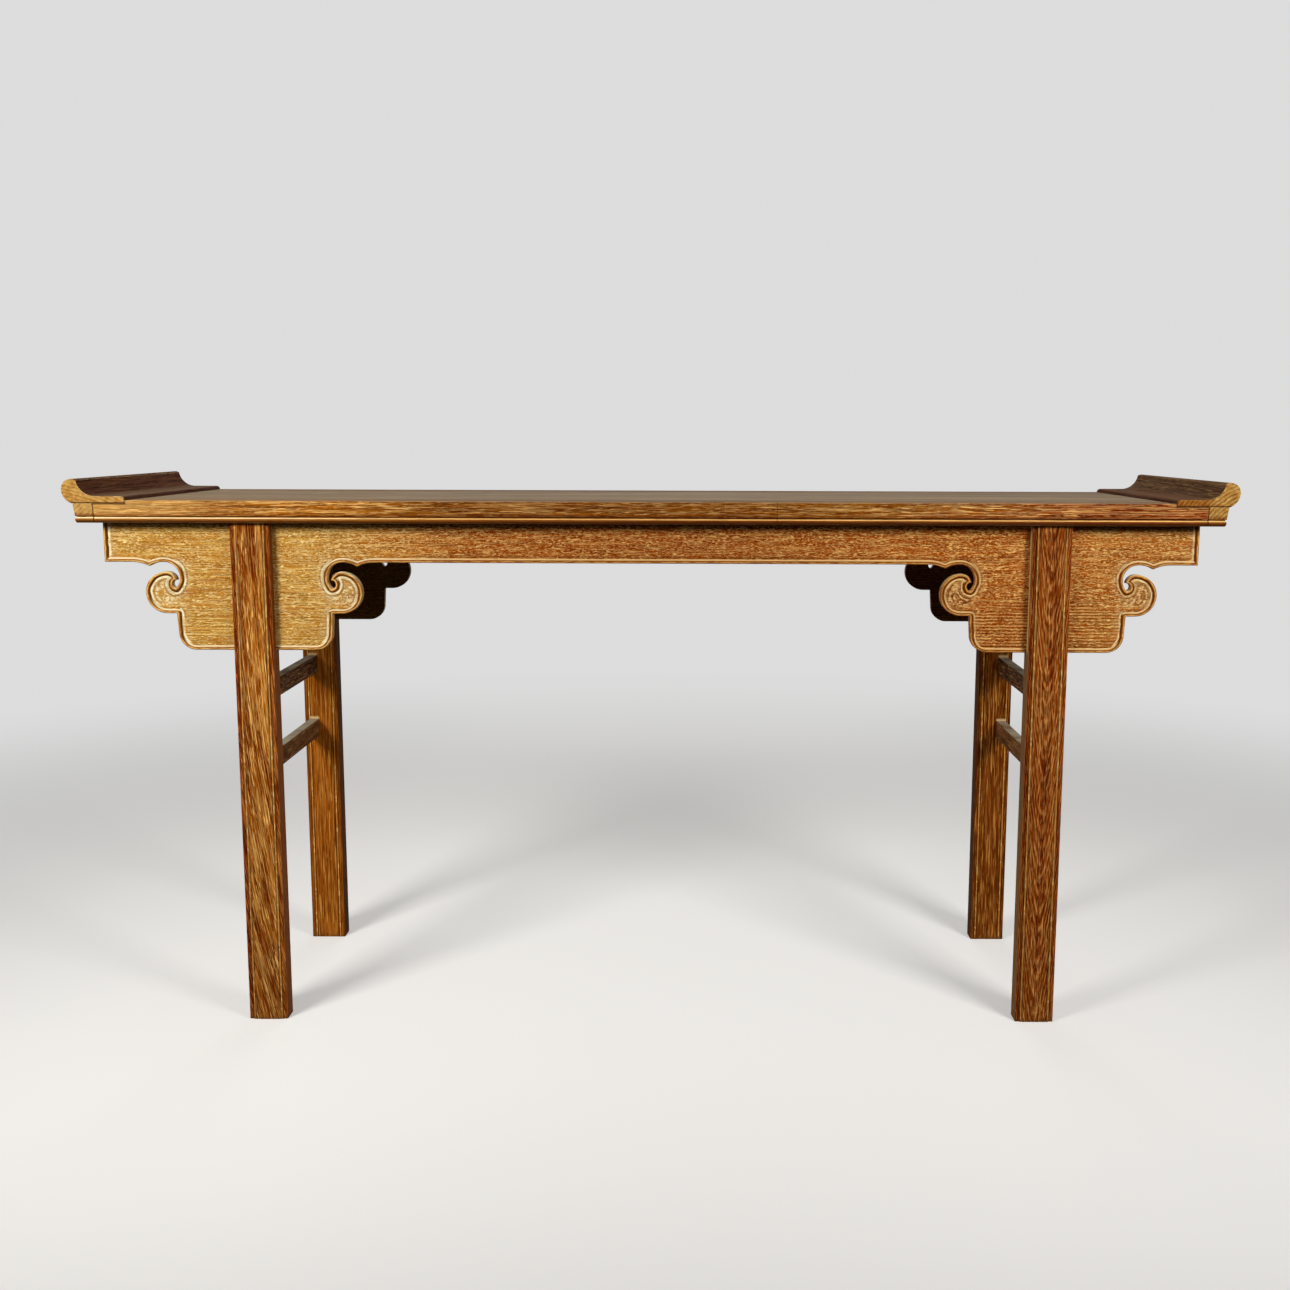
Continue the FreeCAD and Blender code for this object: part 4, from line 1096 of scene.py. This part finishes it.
# %% Lime in the carving
CREAM = rgb(1.0, 0.88, 0.54)
TAWNY = rgb(0.90, 0.60, 0.24)
BROWN = rgb(0.15, 0.036, 0.002)
TREMBLE = 3.4 * MM
edge = apron.attribute("edge_distance")
level_run = apron.fade(apron.attribute("inward_up"), 0.7, 0.95)
upright_run = apron.calc("SUBTRACT", 1.0, level_run)
lime = apron.blend(redder, CREAM, TAWNY)
tremor = apron.calc("SUBTRACT", apron.noise(85.0), 0.5)
cut = apron.calc("MULTIPLY_ADD", tremor, TREMBLE, edge)
patchy = apron.fade(apron.noise(60.0), 0.36, 0.56, 0.3, 1.0)
halo = apron.times(apron.band(edge, 6.0 * MM, 7.0 * MM, 8.0 * MM, 24.0 * MM),
                   apron.streaks(0.010, 0.0018, 0.45, 0.6), upright_run,
                   apron.fade(scroll, 0.0, 1.0, 0.5, 1.0))
apron.lay(halo, lime, 0.55)
apron.tell()

# %% [markdown]
# The core of each volute holds crumbs of lime between dark lines that run along with the cut edge. The
# lines are the distance to the edge once more, counted in equal steps.

# %% Cores of the volutes
FLOW_STEP = 5.2 * MM
core = apron.times(apron.attribute("volute"), apron.fade(cut, 9.0 * MM, 11.5 * MM))
crumbs = apron.fade(apron.noise(300.0, 1.0), 0.50, 0.58)
apron.lay(apron.times(core, crumbs), lime, 0.65)
flow = apron.calc("FRACT", apron.calc("DIVIDE", cut, FLOW_STEP))
broken = apron.fade(apron.noise(90.0), 0.38, 0.54)
flow_lines = apron.times(apron.band(flow, 0.15, 0.35, 0.6, 0.85), broken, core)
apron.lay(flow_lines, apron.blend(redder, rgb(0.56, 0.26, 0.030), rgb(0.14, 0.022, 0.001)), 0.85)
apron.tell()

# %% [markdown]
# Beside the bead lies a ragged line of lime with a brown shadow beyond it. Along the level runs the hollow
# is brown instead. The bead itself is painted: a darker body that is partly painted shade, a rubbed crest
# with a painted highlight, and painted shade in the quirk at its foot.

# %% Lime beside the bead
under_field = apron.times(apron.band(cut, 7.0 * MM, 7.8 * MM, 9.0 * MM, 13.0 * MM), level_run, redder)
apron.lay(under_field, BROWN, 0.45)
lime_width = apron.fade(redder, 0.0, 1.0, 9.6 * MM, 8.4 * MM)
beyond_lime = apron.calc("SUBTRACT", cut, lime_width)
limed_edge = apron.times(apron.fade(cut, 6.4 * MM, 7.2 * MM),
                         apron.fade(beyond_lime, 0.0, 1.4 * MM, 1.0, 0.0), upright_run, patchy)
apron.lay(limed_edge, lime, 0.95)
dark_side = apron.times(apron.band(beyond_lime, 0.8 * MM, 1.6 * MM, 2.6 * MM, 4.2 * MM), upright_run,
                        apron.fade(scroll, 0.0, 1.0, 0.3, 1.0))
apron.lay(dark_side, BROWN, 0.4)
apron.tell()

# %% Bead of the apron
# The bead's darker red-brown body: its own tone, partly painted shade.
bead_tone = apron.blend(redder, rgb(0.36, 0.108, 0.006), rgb(0.26, 0.056, 0.003))
apron.lay(apron.band(edge, 0.0, 0.4 * MM, 5.6 * MM, 6.6 * MM), bead_tone, 0.9)
# Painted highlight on the bead's crest, partly rubbing.
crest = apron.times(apron.band(cut, 0.6 * MM, 1.3 * MM, 2.3 * MM, 3.1 * MM), patchy)
apron.lay(crest, apron.blend(redder, rgb(0.94, 0.60, 0.19), rgb(0.80, 0.42, 0.11)), 0.85)
# Painted shade in the quirk at the foot of the bead.
quirk = apron.times(apron.band(cut, 3.3 * MM, 4.1 * MM, 5.9 * MM, 6.7 * MM), upright_run)
apron.lay(quirk, BROWN, 0.85)
apron.tell()

# %% [markdown]
# Lime and a painted light from above pale the carved slopes that look up, and painted shade darkens those
# that look down. The backs of the boards are painted darker, as shade inside the frame.

# %% Painted light and shade on the slopes of the carving
tilt = facing(apron.tree)[2]
bead = apron.fade(edge, 8.2 * MM, 7.2 * MM)
# Lime and a painted highlight on up-facing slopes of the bead.
apron.lay(apron.times(bead, apron.fade(tilt, 0.25, 0.6)), lime, 0.8)
# Painted shade on down-facing slopes of the bead.
apron.lay(apron.times(bead, apron.fade(tilt, -0.2, -0.7)), BROWN, 0.7)
apron.tell()

# %% Painted shade on the inner faces
APRON_BACK = 185.6 * MM
# The back faces are painted darker, as shade inside the frame.
inside = apron.fade(apron.calc("ABSOLUTE", apron.y), APRON_BACK, APRON_BACK - 0.5 * MM)
apron.tint(inside, rgb(0.26, 0.21, 0.15))
apron.wear_and_highlight(RUBBED_AND_HIGHLIGHT)
apron_wood = apron.close(bump=0.6 * MM, specular=0.03)

# %% [markdown]
# The short end aprons are plain boards that show only from the ends, so the common recipe is enough.

# %% Wood of the end aprons
end_apron = limed("end_apron_wood", ALONG_Y, golden_tones, fleck=(0.03, 0.0022), fine_fleck=(0.012, 0.0013),
                  cover=(0.57, 0.63), shift=(0.3, 0.0, 0.0))
end_apron.wear_and_highlight(RUBBED_AND_HIGHLIGHT)
end_apron_wood = end_apron.close(bump=0.4 * MM, specular=0.03)

# %% [markdown]
# The shape of a long apron comes from its solid. Only the walls as deep as the board belong to its cut
# edge, because the steps of the bead are shallower.

# %% Outline of the apron
WALL_DEPTH = 8 * MM


def depth_of(face):
    """How far a face reaches from front to back."""
    depths = [vert.co.y for vert in face.verts]
    return max(depths) - min(depths)


def lower_outline(node):
    """The board's outline from its top left corner, round the scrolls, to its top right corner."""
    form = joined_form(node)
    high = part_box(node)[1]
    walls = [face for face in form.faces if abs(face.normal.y) < 0.1
             and any(vert.co.z < high.z - MERGE for vert in face.verts)]
    rim = {edge for face in walls for edge in face.edges
           if all(abs(vert.co.y - high.y) < MERGE for vert in edge.verts)}
    full = [edge for edge in rim
            if any(depth_of(face) > WALL_DEPTH for face in edge.link_faces if face in walls)]
    links = chain(full)
    start = min((vert for vert in links if vert.co.z > high.z - MERGE), key=lambda vert: vert.co.x)
    line = [Vector((vert.co.x, vert.co.z)) for vert in walk(links, start)]
    form.free()
    return line


apron_line, apron_corners = smooth_line(lower_outline("front_apron"))
print("apron outline:", len(apron_line), "points,", len(apron_corners), "corners")

# %% [markdown]
# The face of the board is a height map: a point's height depends on how far it is from the cut edge and,
# for the second ridge, from a scroll's eye. That makes the bead follow every scroll by itself. Rows of
# points run along the edge, close together over the bead, and a Delaunay triangulation joins them to a
# loose grid over the field.

# %% Bead, hollow and ridge
BEAD_WIDTH = 6.0 * MM
BEAD_RISE = 2.0 * MM
BEAD_TOP = 2.8 * MM
HOLLOW_DEPTH = 0.8 * MM
HOLLOW_PLACE = 6.9 * MM
HOLLOW_END = 14.0 * MM
RIDGE_PLACE = 9.6 * MM
RIDGE_SPREAD = 1.6 * MM
RIDGE_RISE = 1.2 * MM
ROWS = [step * MM for step in (0.5, 1.1, 1.9, 2.8, 3.7, 4.5, 5.2, 5.7, 6.0, 6.4, 6.9, 7.5, 8.2, 8.9, 9.6,
                               10.3, 11.0, 11.9, 13.0, 14.2)]


def bead_height(reach, scroll):
    """Height of the carved face above its field, by the distance to the cut edge and to a scroll's eye."""
    if reach < BEAD_WIDTH:
        across = (reach - BEAD_TOP) / (BEAD_WIDTH - BEAD_TOP)
        return BEAD_RISE * math.sqrt(max(0.0, 1.0 - across * across))
    if reach < HOLLOW_PLACE:
        return -HOLLOW_DEPTH * (reach - BEAD_WIDTH) / (HOLLOW_PLACE - BEAD_WIDTH)
    if reach > HOLLOW_END:
        return 0.0
    out = (HOLLOW_END - reach) / (HOLLOW_END - HOLLOW_PLACE)
    ridge = math.exp(-((reach - RIDGE_PLACE) / RIDGE_SPREAD) ** 2)
    return scroll * RIDGE_RISE * ridge - HOLLOW_DEPTH * out * out


print("bead at its edge:", round(bead_height(0.0, 0.0) / MM, 2), "mm")

# %% [markdown]
# A scroll's eye is the sharp hook where its outline turns back. The second ridge is strongest near the
# eyes, and the cores of the volutes lie beside and below them.

# %% Eyes of the scrolls
EYE_TURN = math.radians(95.0)
SCROLL_NEAR = 36 * MM
SCROLL_FAR = 62 * MM
VOLUTE_ASIDE = 17.5 * MM
VOLUTE_BELOW = 18.5 * MM
VOLUTE_NEAR = 17 * MM
VOLUTE_FAR = 26 * MM
scroll_eyes = []
for mark in apron_corners[1:-1]:
    before = apron_line[mark] - apron_line[mark - 1]
    after = apron_line[mark + 1] - apron_line[mark]
    if abs(before.angle_signed(after)) > EYE_TURN:
        scroll_eyes.append(apron_line[mark])
scroll_eyes.sort(key=lambda eye: eye.x)
volutes = [eye + Vector((side * VOLUTE_ASIDE, -VOLUTE_BELOW))
           for eye, side in zip(scroll_eyes, (-1, 1, -1, 1))]


def nearness(spot, middles, near, far):
    """1 near one of the middles, falling to 0 away from it."""
    away = min((spot - middle).length for middle in middles)
    share = min(1.0, max(0.0, (far - away) / (far - near)))
    return share * share * (3 - 2 * share)


print("scroll eyes:", len(scroll_eyes))

# %% Distance to the cut edge
edge_tree = kdtree.KDTree(len(apron_line))
for number, spot in enumerate(apron_line):
    edge_tree.insert((spot.x, spot.y, 0.0), number)
edge_tree.balance()


def edge_near(spot):
    """The nearest point of the cut edge."""
    best, found = math.inf, None
    for _, number, _ in edge_tree.find_n((spot.x, spot.y, 0.0), 3):
        for first in (number - 1, number):
            if 0 <= first < len(apron_line) - 1:
                near, share = geometry.intersect_point_line(spot, apron_line[first], apron_line[first + 1])
                ends = (apron_line[first], apron_line[first + 1])
                near = ends[0] if share < 0 else ends[1] if share > 1 else Vector(near[:2])
                if (near - spot).length < best:
                    best, found = (near - spot).length, near
    return found


def edge_reach(spot):
    """How far a point of the board is from its cut edge."""
    return (edge_near(spot) - spot).length


print("points on the cut edge:", len(apron_line))

# %% [markdown]
# Rows that run along the edge keep their distance from it. At a hollow corner they spread like a fan, and
# points that come too near another part of the edge are left out.

# %% Directions into the board
FAN_STEP = math.radians(15.0)


def inward(direction):
    """The direction that lies to the left of another, which is into the board."""
    return Vector((-direction.y, direction.x))


def edge_normals(line, spot, is_corner):
    """Directions into the board from a point of its edge: one on a smooth run, a fan at a hollow corner."""
    before = (line[spot] - line[spot - 1]).normalized() if spot > 0 else None
    after = (line[spot + 1] - line[spot]).normalized() if spot < len(line) - 1 else None
    if before is None or after is None:
        return [inward(after or before)]
    if not is_corner:
        return [inward((before + after).normalized())]
    first, last = inward(before), inward(after)
    if before.cross(after) > 0:
        return [(first + last) / (1 + first.dot(last))]
    count = max(2, round(abs(before.angle_signed(after)) / FAN_STEP))
    return [first.lerp(last, step / count).normalized() for step in range(count + 1)]


print("fan step:", round(math.degrees(FAN_STEP)), "degrees")

# %% Points over the face
GRID = 8 * MM
FIELD_CLEAR = 17 * MM
ROW_SLACK = 0.06 * MM
TOP_CLEAR = 0.5 * MM


def face_points(line, corners, top):
    """Rows along the edge and a grid over the field, all inside the board."""
    spots = []
    for number, spot in enumerate(line):
        for normal in edge_normals(line, number, number in corners):
            for row in ROWS:
                made = spot + normal * row
                if made.y < top - TOP_CLEAR and edge_reach(made) > row - ROW_SLACK:
                    spots.append(made)
    left = min(spot.x for spot in line)
    right = max(spot.x for spot in line)
    bottom = min(spot.y for spot in line)
    for column in range(1, math.floor((right - left) / GRID)):
        for level in range(1, math.floor((top - bottom) / GRID)):
            made = Vector((left + column * GRID, bottom + level * GRID))
            if edge_reach(made) > FIELD_CLEAR:
                spots.append(made)
    return spots


print("rows along the edge:", len(ROWS))

# %% [markdown]
# Every point of the face gets its height and four marks that the wood reads: its distance to the cut edge,
# how near it is to a scroll's eye and to a volute's core, and how far the way into the board points up.

# %% Carved face


def seat_clear(x, legs):
    """True outside the seats that the legs cover."""
    return all(not (low.x < x < high.x) for low, high in legs)


def carved_face(form, spots, field, legs):
    """The points of the carved face, each with its height and its marks."""
    distance = form.verts.layers.float.new("edge_distance")
    eye_share = form.verts.layers.float.new("scroll")
    volute_share = form.verts.layers.float.new("volute")
    upness = form.verts.layers.float.new("inward_up")
    front = []
    for spot in spots:
        inwards = spot - edge_near(spot)
        reach = inwards.length
        scroll = nearness(spot, scroll_eyes, SCROLL_NEAR, SCROLL_FAR)
        rise = bead_height(reach, scroll) if seat_clear(spot.x, legs) else 0.0
        vert = form.verts.new((spot.x, field - rise, spot.y))
        vert[distance] = reach
        vert[eye_share] = scroll
        vert[volute_share] = nearness(spot, volutes, VOLUTE_NEAR, VOLUTE_FAR)
        vert[upness] = inwards.normalized().y
        front.append(vert)
    return front


print("ridge height at an eye:", round(bead_height(RIDGE_PLACE, 1.0) / MM, 2), "mm")

# %% Carved board
MATCH = 1e-7


def carved_board(name, line, corners, node, legs):
    """The carved face, its cut edge and its flat back as one closed board."""
    low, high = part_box(node)
    top_count = math.ceil((line[-1].x - line[0].x) / GRID)
    top = [line[-1].lerp(line[0], step / top_count) for step in range(1, top_count)]
    rim = line + top
    count = len(rim)
    spots = rim + face_points(line, corners, high.z)
    loop = [(number, (number + 1) % count) for number in range(count)]
    flat, _, faces, *_ = geometry.delaunay_2d_cdt(spots, loop, [], 1, MATCH)
    form = bmesh.new()
    front = carved_face(form, flat, low.y + BEAD_RISE, legs)
    for corner_numbers in faces:
        form.faces.new([front[number] for number in corner_numbers])
    backs = [form.verts.new((spot.x, high.y, spot.y)) for spot in rim]
    for number in range(count):
        onward = (number + 1) % count
        form.faces.new((front[number], front[onward], backs[onward], backs[number]))
    form.faces.new(backs)
    bmesh.ops.recalc_face_normals(form, faces=form.faces)
    loose = [vert for vert in form.verts if not vert.link_faces]
    bmesh.ops.delete(form, geom=loose, context="VERTS")
    print(name, "open edges:", sum(not edge.is_manifold for edge in form.edges))
    return mesh_of(name, form)


leg_boxes = [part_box("front_left_leg"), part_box("front_right_leg")]
front_board = carved_board("apron_front", apron_line, apron_corners, "front_apron", leg_boxes)

# %% [markdown]
# The rear apron is the front one turned half round, so its mesh is a turned copy.

# %% Aprons
END_APRON_EASE = 0.8 * MM
rear_board = front_board.copy()
rear_board.transform(Matrix.Rotation(math.pi, 4, "Z"))
finished("apron_front", front_board, apron_wood, "apron_wood", "front_apron")
finished("apron_rear", rear_board, apron_wood, "apron_wood", "rear_apron")
for end in ENDS:
    eased_piece(f"apron_{end}_end", f"{end}_end_apron", end_apron_wood, "apron_wood", END_APRON_EASE)

# %% [markdown]
# ## Battens
# Five equal battens lie under the panel and keep it flat. They repeat at one pitch, so Geometry Nodes set
# copies of the first batten on a line of points. Changing the count or the pitch is then one number.

# %% Batten tree
batten_row, inlet, row_keys = geometry_tree("batten_row", "Battens", Batten=GEOMETRY, Count="NodeSocketInt",
                                            Pitch=FLOAT, Wood=MATERIAL)
stride = add(batten_row, "ShaderNodeCombineXYZ", {0: inlet["Pitch"]}).outputs[0]
places = add(batten_row, "GeometryNodeMeshLine", {"Count": inlet["Count"], "Offset": stride}, mode="OFFSET")
copies = add(batten_row, "GeometryNodeInstanceOnPoints", {
    "Points": places.outputs[0], "Instance": inlet["Batten"]})
close_tree(batten_row, copies.outputs[0], inlet["Wood"])

# %% Battens
BATTEN_COUNT = 5
BATTEN_EASE = 0.5 * MM
batten_nodes = [f"batten_{number}" for number in range(1, BATTEN_COUNT + 1)]
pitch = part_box("batten_2")[0].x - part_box("batten_1")[0].x
form = solid_form("batten_1")
ease(form, BATTEN_EASE)
battens = grown(mesh_of("first_batten", form), batten_row, row_keys, Count=BATTEN_COUNT, Pitch=pitch,
                Wood=stretcher_wood)
finished("battens", battens, stretcher_wood, "batten_wood", *batten_nodes)
print("battens:", BATTEN_COUNT, "at", round(pitch / MM), "mm")

# %% [markdown]
# ## Stage and light
# A pale floor that fades into a pale background keeps the eye on the table. Two soft boxes stand at the
# front, one at each end, and a weaker one behind, so that the back can be seen. A weak world light opens
# the shadows. Floor and world look bright to the camera but throw little light on the table. A Light Path
# node tells the two uses apart.

# %% Floor
FLOOR_RADIUS = 12.0
FLOOR_SIDES = 96
floor_form = bmesh.new()
bmesh.ops.create_circle(floor_form, cap_ends=True, segments=FLOOR_SIDES, radius=FLOOR_RADIUS)
floor_mesh = mesh_of("floor", floor_form)
floor = bpy.data.objects.new("floor", floor_mesh)
scene.collection.objects.link(floor)
print("floor radius:", FLOOR_RADIUS)

# %% Floor paint
FLOOR_FADE = (1.0, 3.4)
FLOOR_THROWN = rgb(0.2, 0.2, 0.195)
FLOOR_SEEN = rgb(0.74, 0.735, 0.72)
FLOOR_LIFT = rgb(0.3, 0.298, 0.292)
BACKGROUND = rgb(0.72, 0.72, 0.72)


def seen_directly(tree):
    """1 for what the camera sees, straight or mirrored, and 0 for light that is thrown on something."""
    rays = add(tree, "ShaderNodeLightPath").outputs
    mirrored = calc(tree, "ADD", rays["Is Glossy Ray"], rays["Is Transmission Ray"])
    return calc(tree, "ADD", rays["Is Camera Ray"], mirrored, clamp=True)


floor_paint = bpy.data.materials.new("floor_paint")
floor_paint.use_nodes = True
tree = floor_paint.node_tree
tree.nodes.clear()
spot = add(tree, "ShaderNodeTexCoord").outputs["Object"]
reach = add(tree, "ShaderNodeVectorMath", {0: spot}, operation="LENGTH").outputs["Value"]
seen = seen_directly(tree)
paint = add(tree, "ShaderNodeBsdfDiffuse", {"Color": blend(tree, seen, FLOOR_THROWN, FLOOR_SEEN)})
lift = add(tree, "ShaderNodeEmission", {"Color": FLOOR_LIFT, "Strength": seen})
lit_paint = add(tree, "ShaderNodeAddShader", {0: paint.outputs[0], 1: lift.outputs[0]})
glow = add(tree, "ShaderNodeEmission", {"Color": BACKGROUND, "Strength": seen})
both = add(tree, "ShaderNodeMixShader", {
    0: fade(tree, reach, *FLOOR_FADE), 1: lit_paint.outputs[0], 2: glow.outputs[0]})
add(tree, "ShaderNodeOutputMaterial", {"Surface": both.outputs[0]})
floor_mesh.materials.append(floor_paint)
print("floor fades over", FLOOR_FADE, "m")

# %% World
WORLD_LIGHT = 0.16
world = bpy.data.worlds.new("studio")
scene.world = world
world.use_nodes = True
tree = world.node_tree
tree.nodes.clear()
strength = fade(tree, seen_directly(tree), 0.0, 1.0, WORLD_LIGHT, 1.0)
sky = add(tree, "ShaderNodeBackground", {"Color": BACKGROUND, "Strength": strength})
add(tree, "ShaderNodeOutputWorld", {"Surface": sky.outputs[0]})
print("world ready")

# %% Soft boxes
SPREAD = math.radians(90.0)


def soft_box(name, place_at, aim, size, power, tint):
    """A square soft box aimed at a point."""
    lamp = bpy.data.lights.new(name, "AREA")
    lamp.shape = "SQUARE"
    lamp.size = size
    lamp.energy = power
    lamp.spread = SPREAD
    lamp.color = tint
    stand = bpy.data.objects.new(name, lamp)
    stand.location = place_at
    stand.rotation_euler = (Vector(aim) - Vector(place_at)).to_track_quat("-Z", "Y").to_euler()
    scene.collection.objects.link(stand)
    print(f"{name}: {power} W at {place_at}")
    return stand


soft_box("left_soft_box", (-1.55, -1.75, 1.6), aim=(-0.7, -0.2, 0.65), size=0.7, power=12.5,
         tint=(1.0, 0.98, 0.94))
soft_box("right_soft_box", (1.55, -1.75, 1.6), aim=(0.7, -0.2, 0.65), size=0.7, power=10.0,
         tint=(1.0, 0.98, 0.95))
rear_box = soft_box("rear_soft_box", (0.0, 2.9, 0.9), aim=(0.0, 0.2, 0.6), size=1.8, power=9.0,
                    tint=(1.0, 0.98, 0.95))
rear_box.visible_glossy = False
